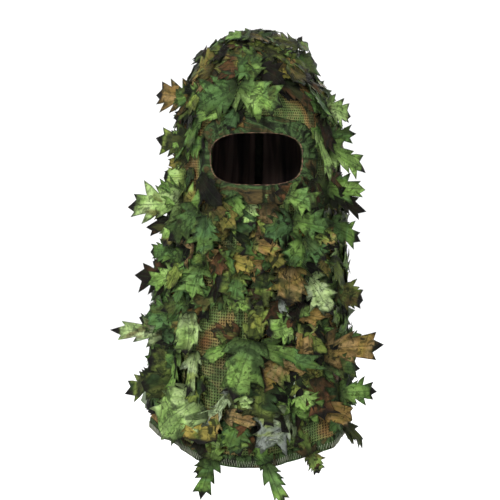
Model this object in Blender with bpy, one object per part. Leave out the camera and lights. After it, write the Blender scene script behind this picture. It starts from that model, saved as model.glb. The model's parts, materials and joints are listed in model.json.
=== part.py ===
"""A leafy camouflage face hood: a tube of printed net cloth that pulls over the head.

The frame has +Z up and the wearer looks along -Y. The origin is the crown seat, the underside of
the crown seam, where the hood hangs on the wearer's head. All sizes are in metres.

The cloth is one closed surface, hood_frame(). It is described by level cross-sections, each two
half ellipses of one width and of different depths, joined smoothly from the crown to the hem.
Every piece is laid on that surface, or folded round one of its edges:
  two crown panels and the opening's elastic binding make the hood that sits on the head;
  a front veil, a back drape and the hem binding make the tube that hangs from it, and that turns
  with the wearer's shoulders;
  leaf strips are sewn flat to the net, and leaf wings are sewn along one edge and flap about it.
"""

import math

import bmesh
import bpy
from mathutils import Matrix, Vector

# Cloth and seams
CLOTH = 0.002
SEAM_GAP = 0.0008
TAPE = 0.0008
TAPE_GAP = 0.0014
TAPE_HALF_WIDTH = 0.005
SEAT_DEPTH = CLOTH + TAPE_GAP + TAPE

# The hood's cross-sections, from the crown to the side of the hem:
# how far below the crown, half the width, the depth in front and the depth behind
SECTIONS = (
    (0.000, 0.0000, 0.000, 0.000),
    (0.003, 0.0220, 0.024, 0.030),
    (0.010, 0.0380, 0.045, 0.054),
    (0.022, 0.0515, 0.062, 0.072),
    (0.038, 0.0625, 0.076, 0.086),
    (0.056, 0.0710, 0.086, 0.096),
    (0.076, 0.0765, 0.092, 0.102),
    (0.100, 0.0785, 0.095, 0.105),
    (0.128, 0.0800, 0.098, 0.105),
    (0.160, 0.0830, 0.101, 0.102),
    (0.195, 0.0880, 0.100, 0.098),
    (0.235, 0.0935, 0.096, 0.094),
    (0.275, 0.0970, 0.093, 0.091),
    (0.315, 0.0995, 0.091, 0.090),
    (0.355, 0.1020, 0.091, 0.090),
    (0.390, 0.1040, 0.093, 0.091),
    (0.411, 0.1050, 0.094, 0.092),
)
LAST = len(SECTIONS) - 1
HEM_DROP = SECTIONS[LAST][0]
YOKE_DROP = 0.205
# The hem hangs lower in front and behind than at the sides
HEM_DIP = 0.028
# The tube hangs a little towards the wearer's right
LEAN = 0.009
LEAN_FROM, LEAN_TO = 0.12, 0.30

# Angles round the hood, in degrees: the wearer's face looks along -90
FACE, WEARERS_LEFT, NAPE, WEARERS_RIGHT = -90, 0, 90, 180
PANEL_COLUMNS = 16
CROWN_PLACES = (0.0, 0.5, 1.0, 1.5)
CROWN_ROWS, DRAPE_ROWS = 12, 9

# The face opening, measured at the folded edge of its binding
OPENING_DROP = 0.1276
OPENING_SIDE = -0.0025
OPENING_HALF_WIDTH = 0.0478
OPENING_HALF_HEIGHT = 0.0284
OPENING_POWER = 2.6
OPENING_STEPS = 44

# A binding is a folded tape: two legs that hold the cloth's edge, and a cavity between them
FOLD = 0.0045
LEG = 0.005
LEG_THICKNESS = 0.0009
CAVITY_OUT, CAVITY_IN = 0.0006, -0.0033
EDGE_PLAY = 0.0006
ELASTIC_RADIUS = 0.0011
ELASTIC_PLAY = 0.0003
HEM_FOLD = 0.002
HEM_LEG = 0.010
HEM_STEPS = 2 * PANEL_COLUMNS

# Leaf strips: how far they lie off the cloth, and how far their leaf tips stand up
LEAF = 0.001
STRIP_LIFT = 0.0016
TIP_RISE = 0.0016
STRIP_STEP = 0.0135
HOOD_STRIP_HALF_ANGLE = 12.5
DRAPE_STRIP_HALF_ANGLE = 15.0
# How wide each side of a strip is at each of its steps, as leaf after leaf passes
STRIP_TEETH = (0.45, 1.0, 0.72, 0.95)
TEETH_SHIFT = 2

# Leaf wings: half a leaf cut, along the wing and across it as shares of its length and span
WING_LIFT = 0.0064
WING_ROOT_GAP = 0.0015
WING_OUTLINE = (
    (0.00, 0.30),
    (0.20, 0.30),
    (0.34, 0.50),
    (0.45, 0.27),
    (0.68, 0.36),
    (0.74, 0.14),
    (1.00, 0.00),
)

# The strips of leaves: name, angle, and the drops of their two ends
HOOD_STRIPS = (
    ("forehead", -90, 0.012, 0.084),
    ("brow_right", -120, 0.014, 0.084),
    ("brow_left", -60, 0.014, 0.084),
    ("temple_right", -155, 0.022, 0.195),
    ("temple_left", -32, 0.022, 0.195),
    ("ear_right", 178, 0.022, 0.195),
    ("ear_left", 2, 0.022, 0.195),
    ("back_right_outer", 150, 0.022, 0.195),
    ("back_right_inner", 120, 0.014, 0.195),
    ("back_centre", 90, 0.014, 0.195),
    ("back_left_inner", 60, 0.014, 0.195),
    ("back_left_outer", 30, 0.022, 0.195),
)
DRAPE_STRIPS = (
    ("chin", -90),
    ("throat_right", -126),
    ("throat_left", -54),
    ("collar_right", -162),
    ("collar_left", -18),
    ("shoulder_right", 162),
    ("shoulder_left", 18),
    ("nape_right", 126),
    ("nape_left", 54),
    ("nape", 90),
)
DRAPE_STRIP_ENDS = (0.212, 0.392)

# The leaf wings: name, angle, drop, the way the wing points (0 towards the wearer's left,
# 90 down, 180 towards the wearer's right), how far it stands off the cloth, length and span.
# Angles are in degrees.
HOOD_WINGS = (
    ("temple_right", -150, 0.071, 182, 35, 0.045, 0.034),
    ("ear_right", -151, 0.115, 184, 35, 0.042, 0.034),
    ("cheek_right", -146, 0.176, 170, 35, 0.066, 0.038),
    ("crown_top", -104, 0.011, 176, 12, 0.034, 0.026),
    ("crown_left", -42, 0.018, 34, 20, 0.034, 0.026),
    ("temple_left", -36, 0.080, 20, 35, 0.034, 0.030),
    ("ear_left", -35, 0.120, 38, 35, 0.047, 0.032),
    ("cheek_left", -36, 0.168, 32, 38, 0.042, 0.026),
    ("crown_back", 96, 0.030, 95, 25, 0.045, 0.034),
    ("back_right", 134, 0.090, 100, 30, 0.050, 0.036),
    ("back_left", 48, 0.086, 80, 30, 0.050, 0.036),
    ("back_centre", 88, 0.140, 90, 28, 0.048, 0.036),
)
DRAPE_WINGS = (
    ("neck_right", -150, 0.252, 178, 35, 0.038, 0.034),
    ("side_right_upper", -150, 0.306, 174, 35, 0.060, 0.024),
    ("side_right_lower", -154, 0.354, 146, 32, 0.046, 0.030),
    ("neck_left", -33, 0.262, 28, 30, 0.034, 0.028),
    ("side_left_upper", -46, 0.315, 6, 35, 0.062, 0.036),
    ("side_left_middle", -34, 0.362, 15, 35, 0.048, 0.028),
    ("side_left_lower", -28, 0.397, 62, 30, 0.044, 0.016),
    ("hem_right", -111, 0.408, 102, 12, 0.040, 0.024),
    ("hem_centre", -82, 0.408, 68, 12, 0.048, 0.018),
    ("hem_left", -57, 0.408, 66, 14, 0.036, 0.020),
    ("nape_right", 118, 0.270, 110, 30, 0.050, 0.036),
    ("nape_left", 62, 0.276, 70, 30, 0.050, 0.036),
    ("back_right", 140, 0.345, 85, 32, 0.046, 0.034),
    ("back_left", 44, 0.350, 95, 32, 0.046, 0.034),
)

# Colour and roughness of each material
LOOKS = {
    "printed_net": ((0.10, 0.19, 0.05), 0.9),
    "binding": ((0.20, 0.16, 0.10), 0.85),
    "elastic": ((0.02, 0.02, 0.02), 0.7),
    "seam_tape": ((0.08, 0.09, 0.07), 0.85),
    "leaf_strip": ((0.17, 0.33, 0.07), 0.75),
    "leaf_wing": ((0.20, 0.13, 0.04), 0.75),
}


def material(name):
    colour, roughness = LOOKS[name]
    made = bpy.data.materials.new(name)
    made.use_nodes = True
    shader = made.node_tree.nodes["Principled BSDF"]
    shader.inputs["Base Color"].default_value = (*colour, 1.0)
    shader.inputs["Roughness"].default_value = roughness
    shader.inputs["Metallic"].default_value = 0.0
    return made


def spread(start, end, steps):
    """Evenly spaced values from start to end."""
    return [start + (end - start) * k / steps for k in range(steps + 1)]


def ramp(value, start, end):
    """0 before start, 1 after end, and smooth between them."""
    share = min(1.0, max(0.0, (value - start) / (end - start)))
    return share * share * (3.0 - 2.0 * share)


def section(place):
    """(drop, half width, front, back) at a place counted in SECTIONS, on a smooth curve through them."""
    first = min(int(place), LAST - 1)
    share = place - first
    row = [SECTIONS[max(0, min(LAST, first + k))] for k in (-1, 0, 1, 2)]
    if first == 0:
        # The crown is round: what comes before it is its first section, seen across the axis.
        row[0] = (SECTIONS[1][0], *(-size for size in SECTIONS[1][1:]))
    found = []
    for a, b, c, d in zip(*row):
        bend = 2 * a - 5 * b + 4 * c - d
        twist = 3 * b - a - 3 * c + d
        found.append(b + 0.5 * share * (c - a + share * (bend + share * twist)))
    return found


def place_at(drop):
    """The place in SECTIONS that lies this far below the crown, by halving."""
    low, high = 0.0, float(LAST)
    for _ in range(40):
        middle = 0.5 * (low + high)
        if section(middle)[0] < drop:
            low = middle
        else:
            high = middle
    return 0.5 * (low + high)


def centre_at(drop):
    """x of the tube's middle."""
    return -LEAN * ramp(drop, LEAN_FROM, LEAN_TO)


def cloth_point(angle, place):
    """A point of the cloth's outer face."""
    drop, half, front, back = section(place)
    turn = math.radians(angle)
    depth = front if math.sin(turn) < 0 else back
    dip = HEM_DIP * ramp(drop, YOKE_DROP, HEM_DROP) * math.sin(turn) ** 2
    across = centre_at(drop) + half * math.cos(turn)
    return Vector((across, depth * math.sin(turn), SEAT_DEPTH - drop - dip))


def hood_frame(angle, place):
    """(point, tangent round the hood, tangent downwards, outward normal) on the cloth's outer face."""
    near = max(place, 0.02)
    around = cloth_point(angle + 0.5, near) - cloth_point(angle - 0.5, near)
    down = cloth_point(angle, min(float(LAST), near + 0.01)) - cloth_point(angle, near - 0.01)
    normal = down.cross(around).normalized()
    if place < near:
        normal = Vector((0.0, 0.0, 1.0))
    return cloth_point(angle, place), around.normalized(), down.normalized(), normal


def lifted(angle, place, lift):
    """A point this far outside the cloth."""
    point, _, _, normal = hood_frame(angle, place)
    return point + normal * lift


def front_frame(across, up):
    """(point, outward normal) of the cloth in front, at this x and z above the yoke."""
    place = place_at(SEAT_DEPTH - up)
    drop, half, _, _ = section(place)
    angle = -math.degrees(math.acos((across - centre_at(drop)) / half))
    point, _, _, normal = hood_frame(angle, place)
    return point, normal


def mesh_object(name, points, faces, look):
    """A smooth object with doubled points joined, and with its faces turned outwards."""
    mesh = bpy.data.meshes.new(name)
    mesh.from_pydata(points, [], faces)
    work = bmesh.new()
    work.from_mesh(mesh)
    bmesh.ops.remove_doubles(work, verts=work.verts, dist=1e-6)
    bmesh.ops.recalc_face_normals(work, faces=work.faces)
    work.to_mesh(mesh)
    work.free()
    mesh.shade_smooth()
    mesh.set_sharp_from_angle(angle=math.radians(40))
    mesh.materials.append(look)
    made = bpy.data.objects.new(name, mesh)
    bpy.context.scene.collection.objects.link(made)
    return made


def thicken(made, thickness, offset):
    """Gives a sheet its thickness: inwards with offset -1, outwards with 1, and both ways with 0."""
    solid = made.modifiers.new("thickness", "SOLIDIFY")
    solid.thickness = thickness
    solid.offset = offset
    solid.use_even_offset = True


def grid_sheet(name, rows, look):
    """A sheet through rows of points, the top row first, with its faces towards the outside."""
    columns = len(rows[0])
    points = [point for row in rows for point in row]
    faces = []
    for r in range(len(rows) - 1):
        for c in range(columns - 1):
            corner = r * columns + c
            faces.append((corner, corner + columns, corner + columns + 1, corner + 1))
    return mesh_object(name, points, faces, look)


def swept_solid(name, rings, look, closed):
    """A solid through equal rings of points. It joins up with its start, or has an end cap at each end."""
    count = len(rings[0])
    points = [point for ring in rings for point in ring]
    faces = []
    for a in range(len(rings) if closed else len(rings) - 1):
        b = (a + 1) % len(rings)
        for k in range(count):
            n = (k + 1) % count
            faces.append((a * count + k, a * count + n, b * count + n, b * count + k))
    if not closed:
        faces.append(tuple(range(count)))
        faces.append(tuple(reversed(range(len(points) - count, len(points)))))
    return mesh_object(name, points, faces, look)


def panel(name, start, end, places, shift, look):
    """A cloth panel between two angles, moved aside by half a seam gap."""
    angles = spread(start, end, PANEL_COLUMNS)
    made = grid_sheet(name, [[cloth_point(a, s) + shift for a in angles] for s in places], look)
    thicken(made, CLOTH, -1)
    return made


def opening_outline(margin):
    """x and z round the face opening, this far outside the fold of its binding."""
    found = []
    for k in range(OPENING_STEPS):
        turn = 2 * math.pi * (k + 0.5) / OPENING_STEPS
        way = (math.cos(turn), math.sin(turn))
        across, up = (math.copysign(abs(v) ** (2 / OPENING_POWER), v) for v in way)
        x = OPENING_SIDE + (OPENING_HALF_WIDTH + margin) * across
        found.append((x, SEAT_DEPTH - OPENING_DROP + (OPENING_HALF_HEIGHT + margin) * up))
    return found


def opening_cutter(look):
    """The prism that cuts the face opening through both crown panels."""
    outline = opening_outline(FOLD + EDGE_PLAY)
    rings = [[Vector((x, y, z)) for x, z in outline] for y in (-0.14, -0.03)]
    cutter = swept_solid("opening_cutter", rings, look, closed=False)
    cutter.hide_render = True
    cutter.display_type = "WIRE"
    return cutter


def crown_panels(look):
    """The two halves of the hood proper, which meet on the seam over the crown."""
    cutter = opening_cutter(look)
    places = [*CROWN_PLACES, *spread(2.0, place_at(YOKE_DROP), CROWN_ROWS)]
    aside = Vector((SEAM_GAP / 2, 0.0, 0.0))
    right = panel("right_crown_panel", NAPE, NAPE + 180, places, -aside, look)
    left = panel("left_crown_panel", NAPE - 180, NAPE, places, aside, look)
    for made in (right, left):
        cut = made.modifiers.new("face_opening", "BOOLEAN")
        cut.operation = "DIFFERENCE"
        cut.solver = "EXACT"
        cut.object = cutter


def drape_panels(look):
    """The veil in front and the drape behind, which hang from the yoke seam."""
    places = spread(place_at(YOKE_DROP + SEAM_GAP), LAST, DRAPE_ROWS)
    aside = Vector((0.0, SEAM_GAP / 2, 0.0))
    return [
        panel("front_veil_panel", -180, 0, places, -aside, look),
        panel("back_drape_panel", 0, 180, places, aside, look),
    ]


def folded_section(point, inwards, normal, fold, leg):
    """A folded binding's outline. inwards runs from the fold to the cloth that its two legs hold."""
    outline = (
        (leg, CAVITY_OUT + LEG_THICKNESS),
        (-fold, CAVITY_OUT + LEG_THICKNESS),
        (-fold, CAVITY_IN - LEG_THICKNESS),
        (leg, CAVITY_IN - LEG_THICKNESS),
        (leg, CAVITY_IN),
        (-fold + LEG_THICKNESS, CAVITY_IN),
        (-fold + LEG_THICKNESS, CAVITY_OUT),
        (leg, CAVITY_OUT),
    )
    return [point + inwards * u + normal * w for u, w in outline]


def opening_frames():
    """(point, way into the cloth, outward normal) round the cloth's edge at the face opening."""
    found = [front_frame(x, z) for x, z in opening_outline(FOLD)]
    frames = []
    for k, (point, normal) in enumerate(found):
        along = found[(k + 1) % len(found)][0] - found[k - 1][0]
        frames.append((point, along.cross(normal).normalized(), normal))
    return frames


def opening_trim(binding, elastic):
    """The folded binding round the face opening, and the elastic that runs inside it."""
    frames = opening_frames()
    rings = [folded_section(*frame, FOLD, LEG) for frame in frames]
    swept_solid("opening_binding", rings, binding, closed=True)
    depth = 0.5 * (CAVITY_OUT + CAVITY_IN)
    inset = LEG_THICKNESS + ELASTIC_PLAY + ELASTIC_RADIUS - FOLD
    rings = []
    for point, inwards, normal in frames:
        core = point + inwards * inset + normal * depth
        turns = spread(0.0, 2 * math.pi, 6)[:-1]
        rings.append([core + ELASTIC_RADIUS * (inwards * math.cos(t) + normal * math.sin(t)) for t in turns])
    swept_solid("opening_elastic", rings, elastic, closed=True)


def hem_binding(look):
    """The folded tape round the bottom edge."""
    rings = []
    for angle in spread(-180, 180, HEM_STEPS)[:-1]:
        point, _, down, normal = hood_frame(angle, LAST)
        rings.append(folded_section(point + down * EDGE_PLAY, -down, normal, HEM_FOLD, HEM_LEG))
    return swept_solid("hem_binding", rings, look, closed=True)


def tape_section(angle, place, across):
    """A tape's four corners under the cloth. across is the way the tape is wide."""
    point, _, _, normal = hood_frame(angle, place)
    top = point - normal * (CLOTH + TAPE_GAP)
    low = top - normal * TAPE
    side = across * TAPE_HALF_WIDTH
    return [top + side, top - side, low - side, low + side]


def hood_tapes(look):
    """The overlocked seam allowances of the hood proper, which lie under its seams."""
    across = Vector((1.0, 0.0, 0.0))
    margin = FOLD + LEG + 0.003
    seam_end = place_at(YOKE_DROP - 2 * TAPE_HALF_WIDTH - 0.004)
    brim = place_at(OPENING_DROP - OPENING_HALF_HEIGHT - margin)
    rings = [tape_section(FACE, s, across) for s in spread(brim, 0.0, 14)]
    rings += [tape_section(NAPE, s, across) for s in spread(0.0, seam_end, 20)[1:]]
    swept_solid("crown_seam_tape", rings, look, closed=False)
    below = place_at(OPENING_DROP + OPENING_HALF_HEIGHT + margin)
    rings = [tape_section(FACE, s, across) for s in spread(below, seam_end, 3)]
    swept_solid("chin_seam_tape", rings, look, closed=False)
    middle = place_at(YOKE_DROP - TAPE_HALF_WIDTH - 0.002)
    rings = [tape_section(a, middle, hood_frame(a, middle)[2]) for a in spread(-180, 180, 36)[:-1]]
    swept_solid("yoke_seam_tape", rings, look, closed=True)


def side_tapes(look):
    """The seam allowances down the drape's two sides."""
    across = Vector((0.0, 1.0, 0.0))
    places = spread(place_at(YOKE_DROP + 0.004), place_at(HEM_DROP - HEM_LEG - 0.003), 10)
    made = []
    for name, angle in (("right_side_seam_tape", WEARERS_RIGHT), ("left_side_seam_tape", WEARERS_LEFT)):
        rings = [tape_section(angle, s, across) for s in places]
        made.append(swept_solid(name, rings, look, closed=False))
    return made


def leaf_strip(name, angle, start, end, half_angle, look):
    """A row of leaves sewn flat to the net: a ribbon with toothed edges that follows the cloth."""
    first, last = place_at(start), place_at(end)
    length = (cloth_point(angle, last) - cloth_point(angle, first)).length
    rows = []
    for k, place in enumerate(spread(first, last, round(length / STRIP_STEP))):
        left, right = (STRIP_TEETH[(k + shift) % len(STRIP_TEETH)] for shift in (0, TEETH_SHIFT))
        rows.append([
            lifted(angle - half_angle * right, place, STRIP_LIFT + TIP_RISE * right),
            lifted(angle, place, STRIP_LIFT),
            lifted(angle + half_angle * left, place, STRIP_LIFT + TIP_RISE * left),
        ])
    made = grid_sheet("leaf_strip_" + name, rows, look)
    thicken(made, LEAF, 1)
    return made


def wing_place(angle, drop, heading, lift):
    """A leaf wing's matrix: its origin on the hinge, X along the wing and Y along the hinge."""
    point, around, down, normal = hood_frame(angle, place_at(drop))
    turn, rise = math.radians(heading), math.radians(lift)
    flat = around * math.cos(turn) + down * math.sin(turn)
    flat = (flat - normal * flat.dot(normal)).normalized()
    along = flat * math.cos(rise) + normal * math.sin(rise)
    hinge = normal.cross(flat)
    turned = Matrix((along, hinge, along.cross(hinge))).transposed()
    return Matrix.Translation(point + normal * WING_LIFT) @ turned.to_4x4()


def leaf_wing(name, angle, drop, heading, lift, length, span, look):
    """A leaf sewn along its root, which is a little way from its hinge."""
    reach = length - WING_ROOT_GAP
    half = [Vector((WING_ROOT_GAP + a * reach, b * span, 0.0)) for a, b in WING_OUTLINE]
    other_half = [Vector((p.x, -p.y, 0.0)) for p in reversed(half[:-1])]
    points = half + other_half
    made = mesh_object("leaf_wing_" + name, points, [tuple(range(len(points)))], look)
    thicken(made, LEAF, 0)
    made.matrix_world = wing_place(angle, drop, heading, lift)
    return made


def twist_empty():
    """The upright axis at the yoke, about which the drape turns."""
    axis = bpy.data.objects.new("drape_twist_axis", None)
    axis.location = (centre_at(YOKE_DROP), 0.0, SEAT_DEPTH - YOKE_DROP)
    bpy.context.scene.collection.objects.link(axis)
    return axis


def main():
    for old in list(bpy.data.objects):
        bpy.data.objects.remove(old)
    looks = {name: material(name) for name in LOOKS}
    crown_panels(looks["printed_net"])
    opening_trim(looks["binding"], looks["elastic"])
    hood_tapes(looks["seam_tape"])
    for row in HOOD_STRIPS:
        leaf_strip(*row, HOOD_STRIP_HALF_ANGLE, looks["leaf_strip"])
    for row in HOOD_WINGS:
        leaf_wing(*row, looks["leaf_wing"])

    drape = drape_panels(looks["printed_net"])
    drape.append(hem_binding(looks["binding"]))
    drape += side_tapes(looks["seam_tape"])
    for name, angle in DRAPE_STRIPS:
        ends = DRAPE_STRIP_ENDS
        drape.append(leaf_strip("drape_" + name, angle, *ends, DRAPE_STRIP_HALF_ANGLE, looks["leaf_strip"]))
    for name, *row in DRAPE_WINGS:
        drape.append(leaf_wing("drape_" + name, *row, looks["leaf_wing"]))
    axis = twist_empty()
    bpy.context.view_layer.update()
    for made in drape:
        made.parent = axis
        made.matrix_parent_inverse = axis.matrix_world.inverted()


main()
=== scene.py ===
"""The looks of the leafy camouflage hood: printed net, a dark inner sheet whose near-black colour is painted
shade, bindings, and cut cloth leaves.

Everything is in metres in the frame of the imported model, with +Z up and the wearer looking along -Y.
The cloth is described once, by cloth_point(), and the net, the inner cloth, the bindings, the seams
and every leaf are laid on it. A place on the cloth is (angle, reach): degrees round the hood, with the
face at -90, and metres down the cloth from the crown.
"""

import json
import math
from dataclasses import dataclass
from random import Random

import bpy
import numpy as np
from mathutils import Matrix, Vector
from mathutils.bvhtree import BVHTree
from mathutils.geometry import delaunay_2d_cdt

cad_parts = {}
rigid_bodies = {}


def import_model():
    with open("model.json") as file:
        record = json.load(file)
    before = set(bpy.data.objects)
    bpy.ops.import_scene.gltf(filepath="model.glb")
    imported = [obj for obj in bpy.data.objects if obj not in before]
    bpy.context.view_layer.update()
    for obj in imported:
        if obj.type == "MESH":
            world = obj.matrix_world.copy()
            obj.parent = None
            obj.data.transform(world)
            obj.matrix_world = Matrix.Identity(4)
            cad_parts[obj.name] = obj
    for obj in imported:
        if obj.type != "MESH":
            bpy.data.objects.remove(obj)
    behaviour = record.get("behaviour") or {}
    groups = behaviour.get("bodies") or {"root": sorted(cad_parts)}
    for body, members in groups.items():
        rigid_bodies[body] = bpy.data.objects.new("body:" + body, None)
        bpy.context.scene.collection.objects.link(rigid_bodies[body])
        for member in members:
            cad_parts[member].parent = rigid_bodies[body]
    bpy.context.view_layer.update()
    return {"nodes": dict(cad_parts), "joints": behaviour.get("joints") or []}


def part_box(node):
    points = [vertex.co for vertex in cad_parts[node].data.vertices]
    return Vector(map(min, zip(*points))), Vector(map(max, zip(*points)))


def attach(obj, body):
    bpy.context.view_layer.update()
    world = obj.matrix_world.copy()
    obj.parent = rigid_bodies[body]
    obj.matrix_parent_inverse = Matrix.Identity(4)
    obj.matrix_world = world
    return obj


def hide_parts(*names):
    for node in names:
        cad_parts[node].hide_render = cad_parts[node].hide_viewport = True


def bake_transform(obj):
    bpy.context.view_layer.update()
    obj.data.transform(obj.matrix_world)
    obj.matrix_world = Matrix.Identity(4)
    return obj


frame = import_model()

# ---------------------------------------------------------------- the cloth's surface

# The crown's outer face is this far above the head
SEAT_DEPTH = 0.0042
# How far below the crown, half the width, the depth in front and the depth behind
SECTIONS = np.array((
    (0.000, 0.0000, 0.000, 0.000),
    (0.003, 0.0220, 0.024, 0.030),
    (0.010, 0.0380, 0.045, 0.054),
    (0.022, 0.0515, 0.062, 0.072),
    (0.038, 0.0625, 0.076, 0.086),
    (0.056, 0.0710, 0.086, 0.096),
    (0.076, 0.0765, 0.092, 0.102),
    (0.100, 0.0785, 0.095, 0.105),
    (0.128, 0.0800, 0.098, 0.105),
    (0.160, 0.0830, 0.101, 0.102),
    (0.195, 0.0880, 0.100, 0.098),
    (0.235, 0.0935, 0.096, 0.094),
    (0.275, 0.0970, 0.093, 0.091),
    (0.315, 0.0995, 0.091, 0.090),
    (0.355, 0.1020, 0.091, 0.090),
    (0.390, 0.1040, 0.093, 0.091),
    (0.411, 0.1050, 0.094, 0.092),
))
STEPS_BETWEEN_SECTIONS = 40
YOKE_DROP, HEM_DROP = 0.205, 0.411
# How much lower the hem hangs in front and behind than at the sides
HEM_DIP = 0.028
# The hood's middle moves this far to the wearer's right between these two drops
LEAN, LEAN_FROM, LEAN_TO = 0.009, 0.12, 0.30
# The slack of the crown hangs this far to the wearer's right, and the cap is this much slimmer on each side
SLACK, SLIMMER = 0.007, 0.006

# The face opening's centre, half its size, and the power that squares its corners: 2 is an ellipse
OPENING_DROP, OPENING_SIDE = 0.1306, -0.0035
OPENING_HALF = (0.0482, 0.0284)
OPENING_POWER = 3.0

CAMERA_AZIMUTH, CAMERA_ELEVATION = 0.0, 3.0
CAMERA_DISTANCE = 1.8
CAMERA_TARGET = Vector((-0.010, 0.0, -0.222))
FRAME_HEIGHT = 0.525
# How far the cloth in front is from the hood's middle plane
FRONT_DEPTH = 0.095


def ramp(value, start, end):
    """0 before start, 1 after end, and smooth between them."""
    share = np.clip((np.asarray(value, float) - start) / (end - start), 0.0, 1.0)
    return share * share * (3.0 - 2.0 * share)


def fine_sections():
    """SECTIONS with many steps between each two rows, on the smooth curve through them."""
    before = SECTIONS[1] * (1, -1, -1, -1)
    rows = np.vstack((before, SECTIONS, 2 * SECTIONS[-1] - SECTIONS[-2]))
    t = np.linspace(0.0, 1.0, STEPS_BETWEEN_SECTIONS, endpoint=False)[:, None]
    found = []
    for a, b, c, d in zip(rows, rows[1:], rows[2:], rows[3:]):
        found.append(b + 0.5 * t * (c - a + t * (2 * a - 5 * b + 4 * c - d + t * (3 * b - a - 3 * c + d))))
    return np.vstack((*found, SECTIONS[-1]))


FINE = fine_sections()
# Metres of cloth from the crown, measured down the hood's side
REACH = np.concatenate(([0.0], np.cumsum(np.hypot(np.diff(FINE[:, 0]), np.diff(FINE[:, 1])))))
HEM_REACH = REACH[-1]


def reach_at(drop):
    return np.interp(drop, FINE[:, 0], REACH)


YOKE_REACH = float(reach_at(YOKE_DROP))


def cap(drop):
    """1 where the crown's cap is slimmest."""
    return ramp(drop, 0.0, 0.016) - ramp(drop, 0.045, 0.095)


def centre_at(drop):
    """How far the hood's middle lies to the wearer's left."""
    return -LEAN * ramp(drop, LEAN_FROM, LEAN_TO) - SLACK * cap(drop)


def hem_dip(drop, facing):
    """How far the cloth hangs lower here. facing is 1 in front and behind, and 0 at the sides."""
    return HEM_DIP * ramp(drop, YOKE_DROP, HEM_DROP) * facing


def folds(turn, reach):
    """How far the cloth's own folds lift it: upright ones that deepen to the hem, and fine ripples above."""
    low = ramp(reach, YOKE_REACH - 0.02, HEM_REACH - 0.03)
    hanging = (
        0.0034 * np.sin(5 * turn + 1.2 + 8 * reach)
        + 0.0024 * np.sin(9 * turn - 0.6 - 9 * reach)
        + 0.0012 * np.sin(19 * turn + 2.0 + 15 * reach)
        - 0.0026
    )
    ripples = 0.0005 * np.sin(13 * turn + 60 * reach) * np.sin(23 * turn - 35 * reach)
    return low * hanging + ripples * ramp(reach, 0.0, 0.06)


def cloth_point(angle, reach):
    """Points of the cloth's outer face, which its folds move level outwards."""
    angle, reach = np.broadcast_arrays(np.asarray(angle, float), np.asarray(reach, float))
    drop, half, front, back = (np.interp(reach, REACH, column) for column in FINE.T)
    turn = np.radians(angle)
    sine, cosine = np.sin(turn), np.cos(turn)
    grow = folds(turn, reach)
    x = centre_at(drop) + (half + grow - SLIMMER * cap(drop)) * cosine
    y = (np.where(sine < 0, front, back) + grow) * sine
    return np.stack((x, y, SEAT_DEPTH - drop - hem_dip(drop, sine**2)), axis=-1)


def unit(vectors):
    return vectors / np.maximum(np.linalg.norm(vectors, axis=-1, keepdims=True), 1e-12)


def cloth_frame(angle, reach):
    """(points, tangents round the hood, tangents downwards, outward normals)."""
    reach = np.maximum(np.asarray(reach, float), 0.002)
    around = unit(cloth_point(angle + 0.5, reach) - cloth_point(angle - 0.5, reach))
    down = unit(cloth_point(angle, reach + 0.001) - cloth_point(angle, reach - 0.001))
    return cloth_point(angle, reach), around, down, unit(np.cross(down, around))


def off_cloth(angle, reach, lift):
    """Points this far along the outward normal."""
    point, _, _, normal = cloth_frame(angle, reach)
    return point + normal * lift


def front_place(x, z):
    """(angle, reach) of the cloth in front at this x and z, found by closing in on the drop."""
    drop = SEAT_DEPTH - z
    for _ in range(12):
        half = np.interp(drop, FINE[:, 0], FINE[:, 1]) - SLIMMER * cap(drop)
        cosine = np.clip((x - centre_at(drop)) / half, -0.999, 0.999)
        drop = SEAT_DEPTH - z - hem_dip(drop, 1 - cosine**2)
        drop = np.clip(drop, 0.001, HEM_DROP)
    return -np.degrees(np.arccos(cosine)), reach_at(drop)


def seen_place(x, z):
    """(angle, reach) of the cloth that the camera sees at this x and z of the hood's middle plane."""
    nearer = 1 - FRONT_DEPTH / CAMERA_DISTANCE
    lower = FRONT_DEPTH * math.sin(math.radians(CAMERA_ELEVATION))
    middle = CAMERA_TARGET
    return front_place(middle.x + (x - middle.x) * nearer, middle.z + (z - middle.z) * nearer + lower)


# ---------------------------------------------------------------- meshes

# The radius at which angles round the hood become metres of print
PRINT_RADIUS = 0.09


def mesh_piece(name, points, faces, materials, uv=None, leaf=None, rim=None):
    """A mesh object. uv is metres on the flat cloth, leaf is (tone, seed, tip) of the print, and rim is 1
    along a leaf's cut edge."""
    mesh = bpy.data.meshes.new(name)
    mesh.from_pydata(np.asarray(points, float).tolist(), [], [tuple(map(int, f)) for f in faces])
    if uv is not None:
        layer = mesh.uv_layers.new(name="cloth")
        corners = np.zeros(len(mesh.loops), int)
        mesh.loops.foreach_get("vertex_index", corners)
        layer.data.foreach_set("uv", np.asarray(uv, np.float32)[corners].ravel())
    if leaf is not None:
        made = mesh.attributes.new("leaf", "FLOAT_VECTOR", "POINT")
        made.data.foreach_set("vector", np.asarray(leaf, np.float32).ravel())
        made = mesh.attributes.new("rim", "FLOAT", "POINT")
        made.data.foreach_set("value", np.asarray(rim, np.float32))
    for look in materials:
        mesh.materials.append(look)
    mesh.shade_smooth()
    made = bpy.data.objects.new(name, mesh)
    bpy.context.scene.collection.objects.link(made)
    return made


def grid_faces(rows, columns, closed=False):
    """Quads of rows of points that run all the way round. closed joins the last row to the first."""
    faces = []
    for r in range(rows if closed else rows - 1):
        here, below = r * columns, (r + 1) % rows * columns
        for c in range(columns):
            n = (c + 1) % columns
            faces.append((here + c, below + c, below + n, here + n))
    return faces


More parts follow.
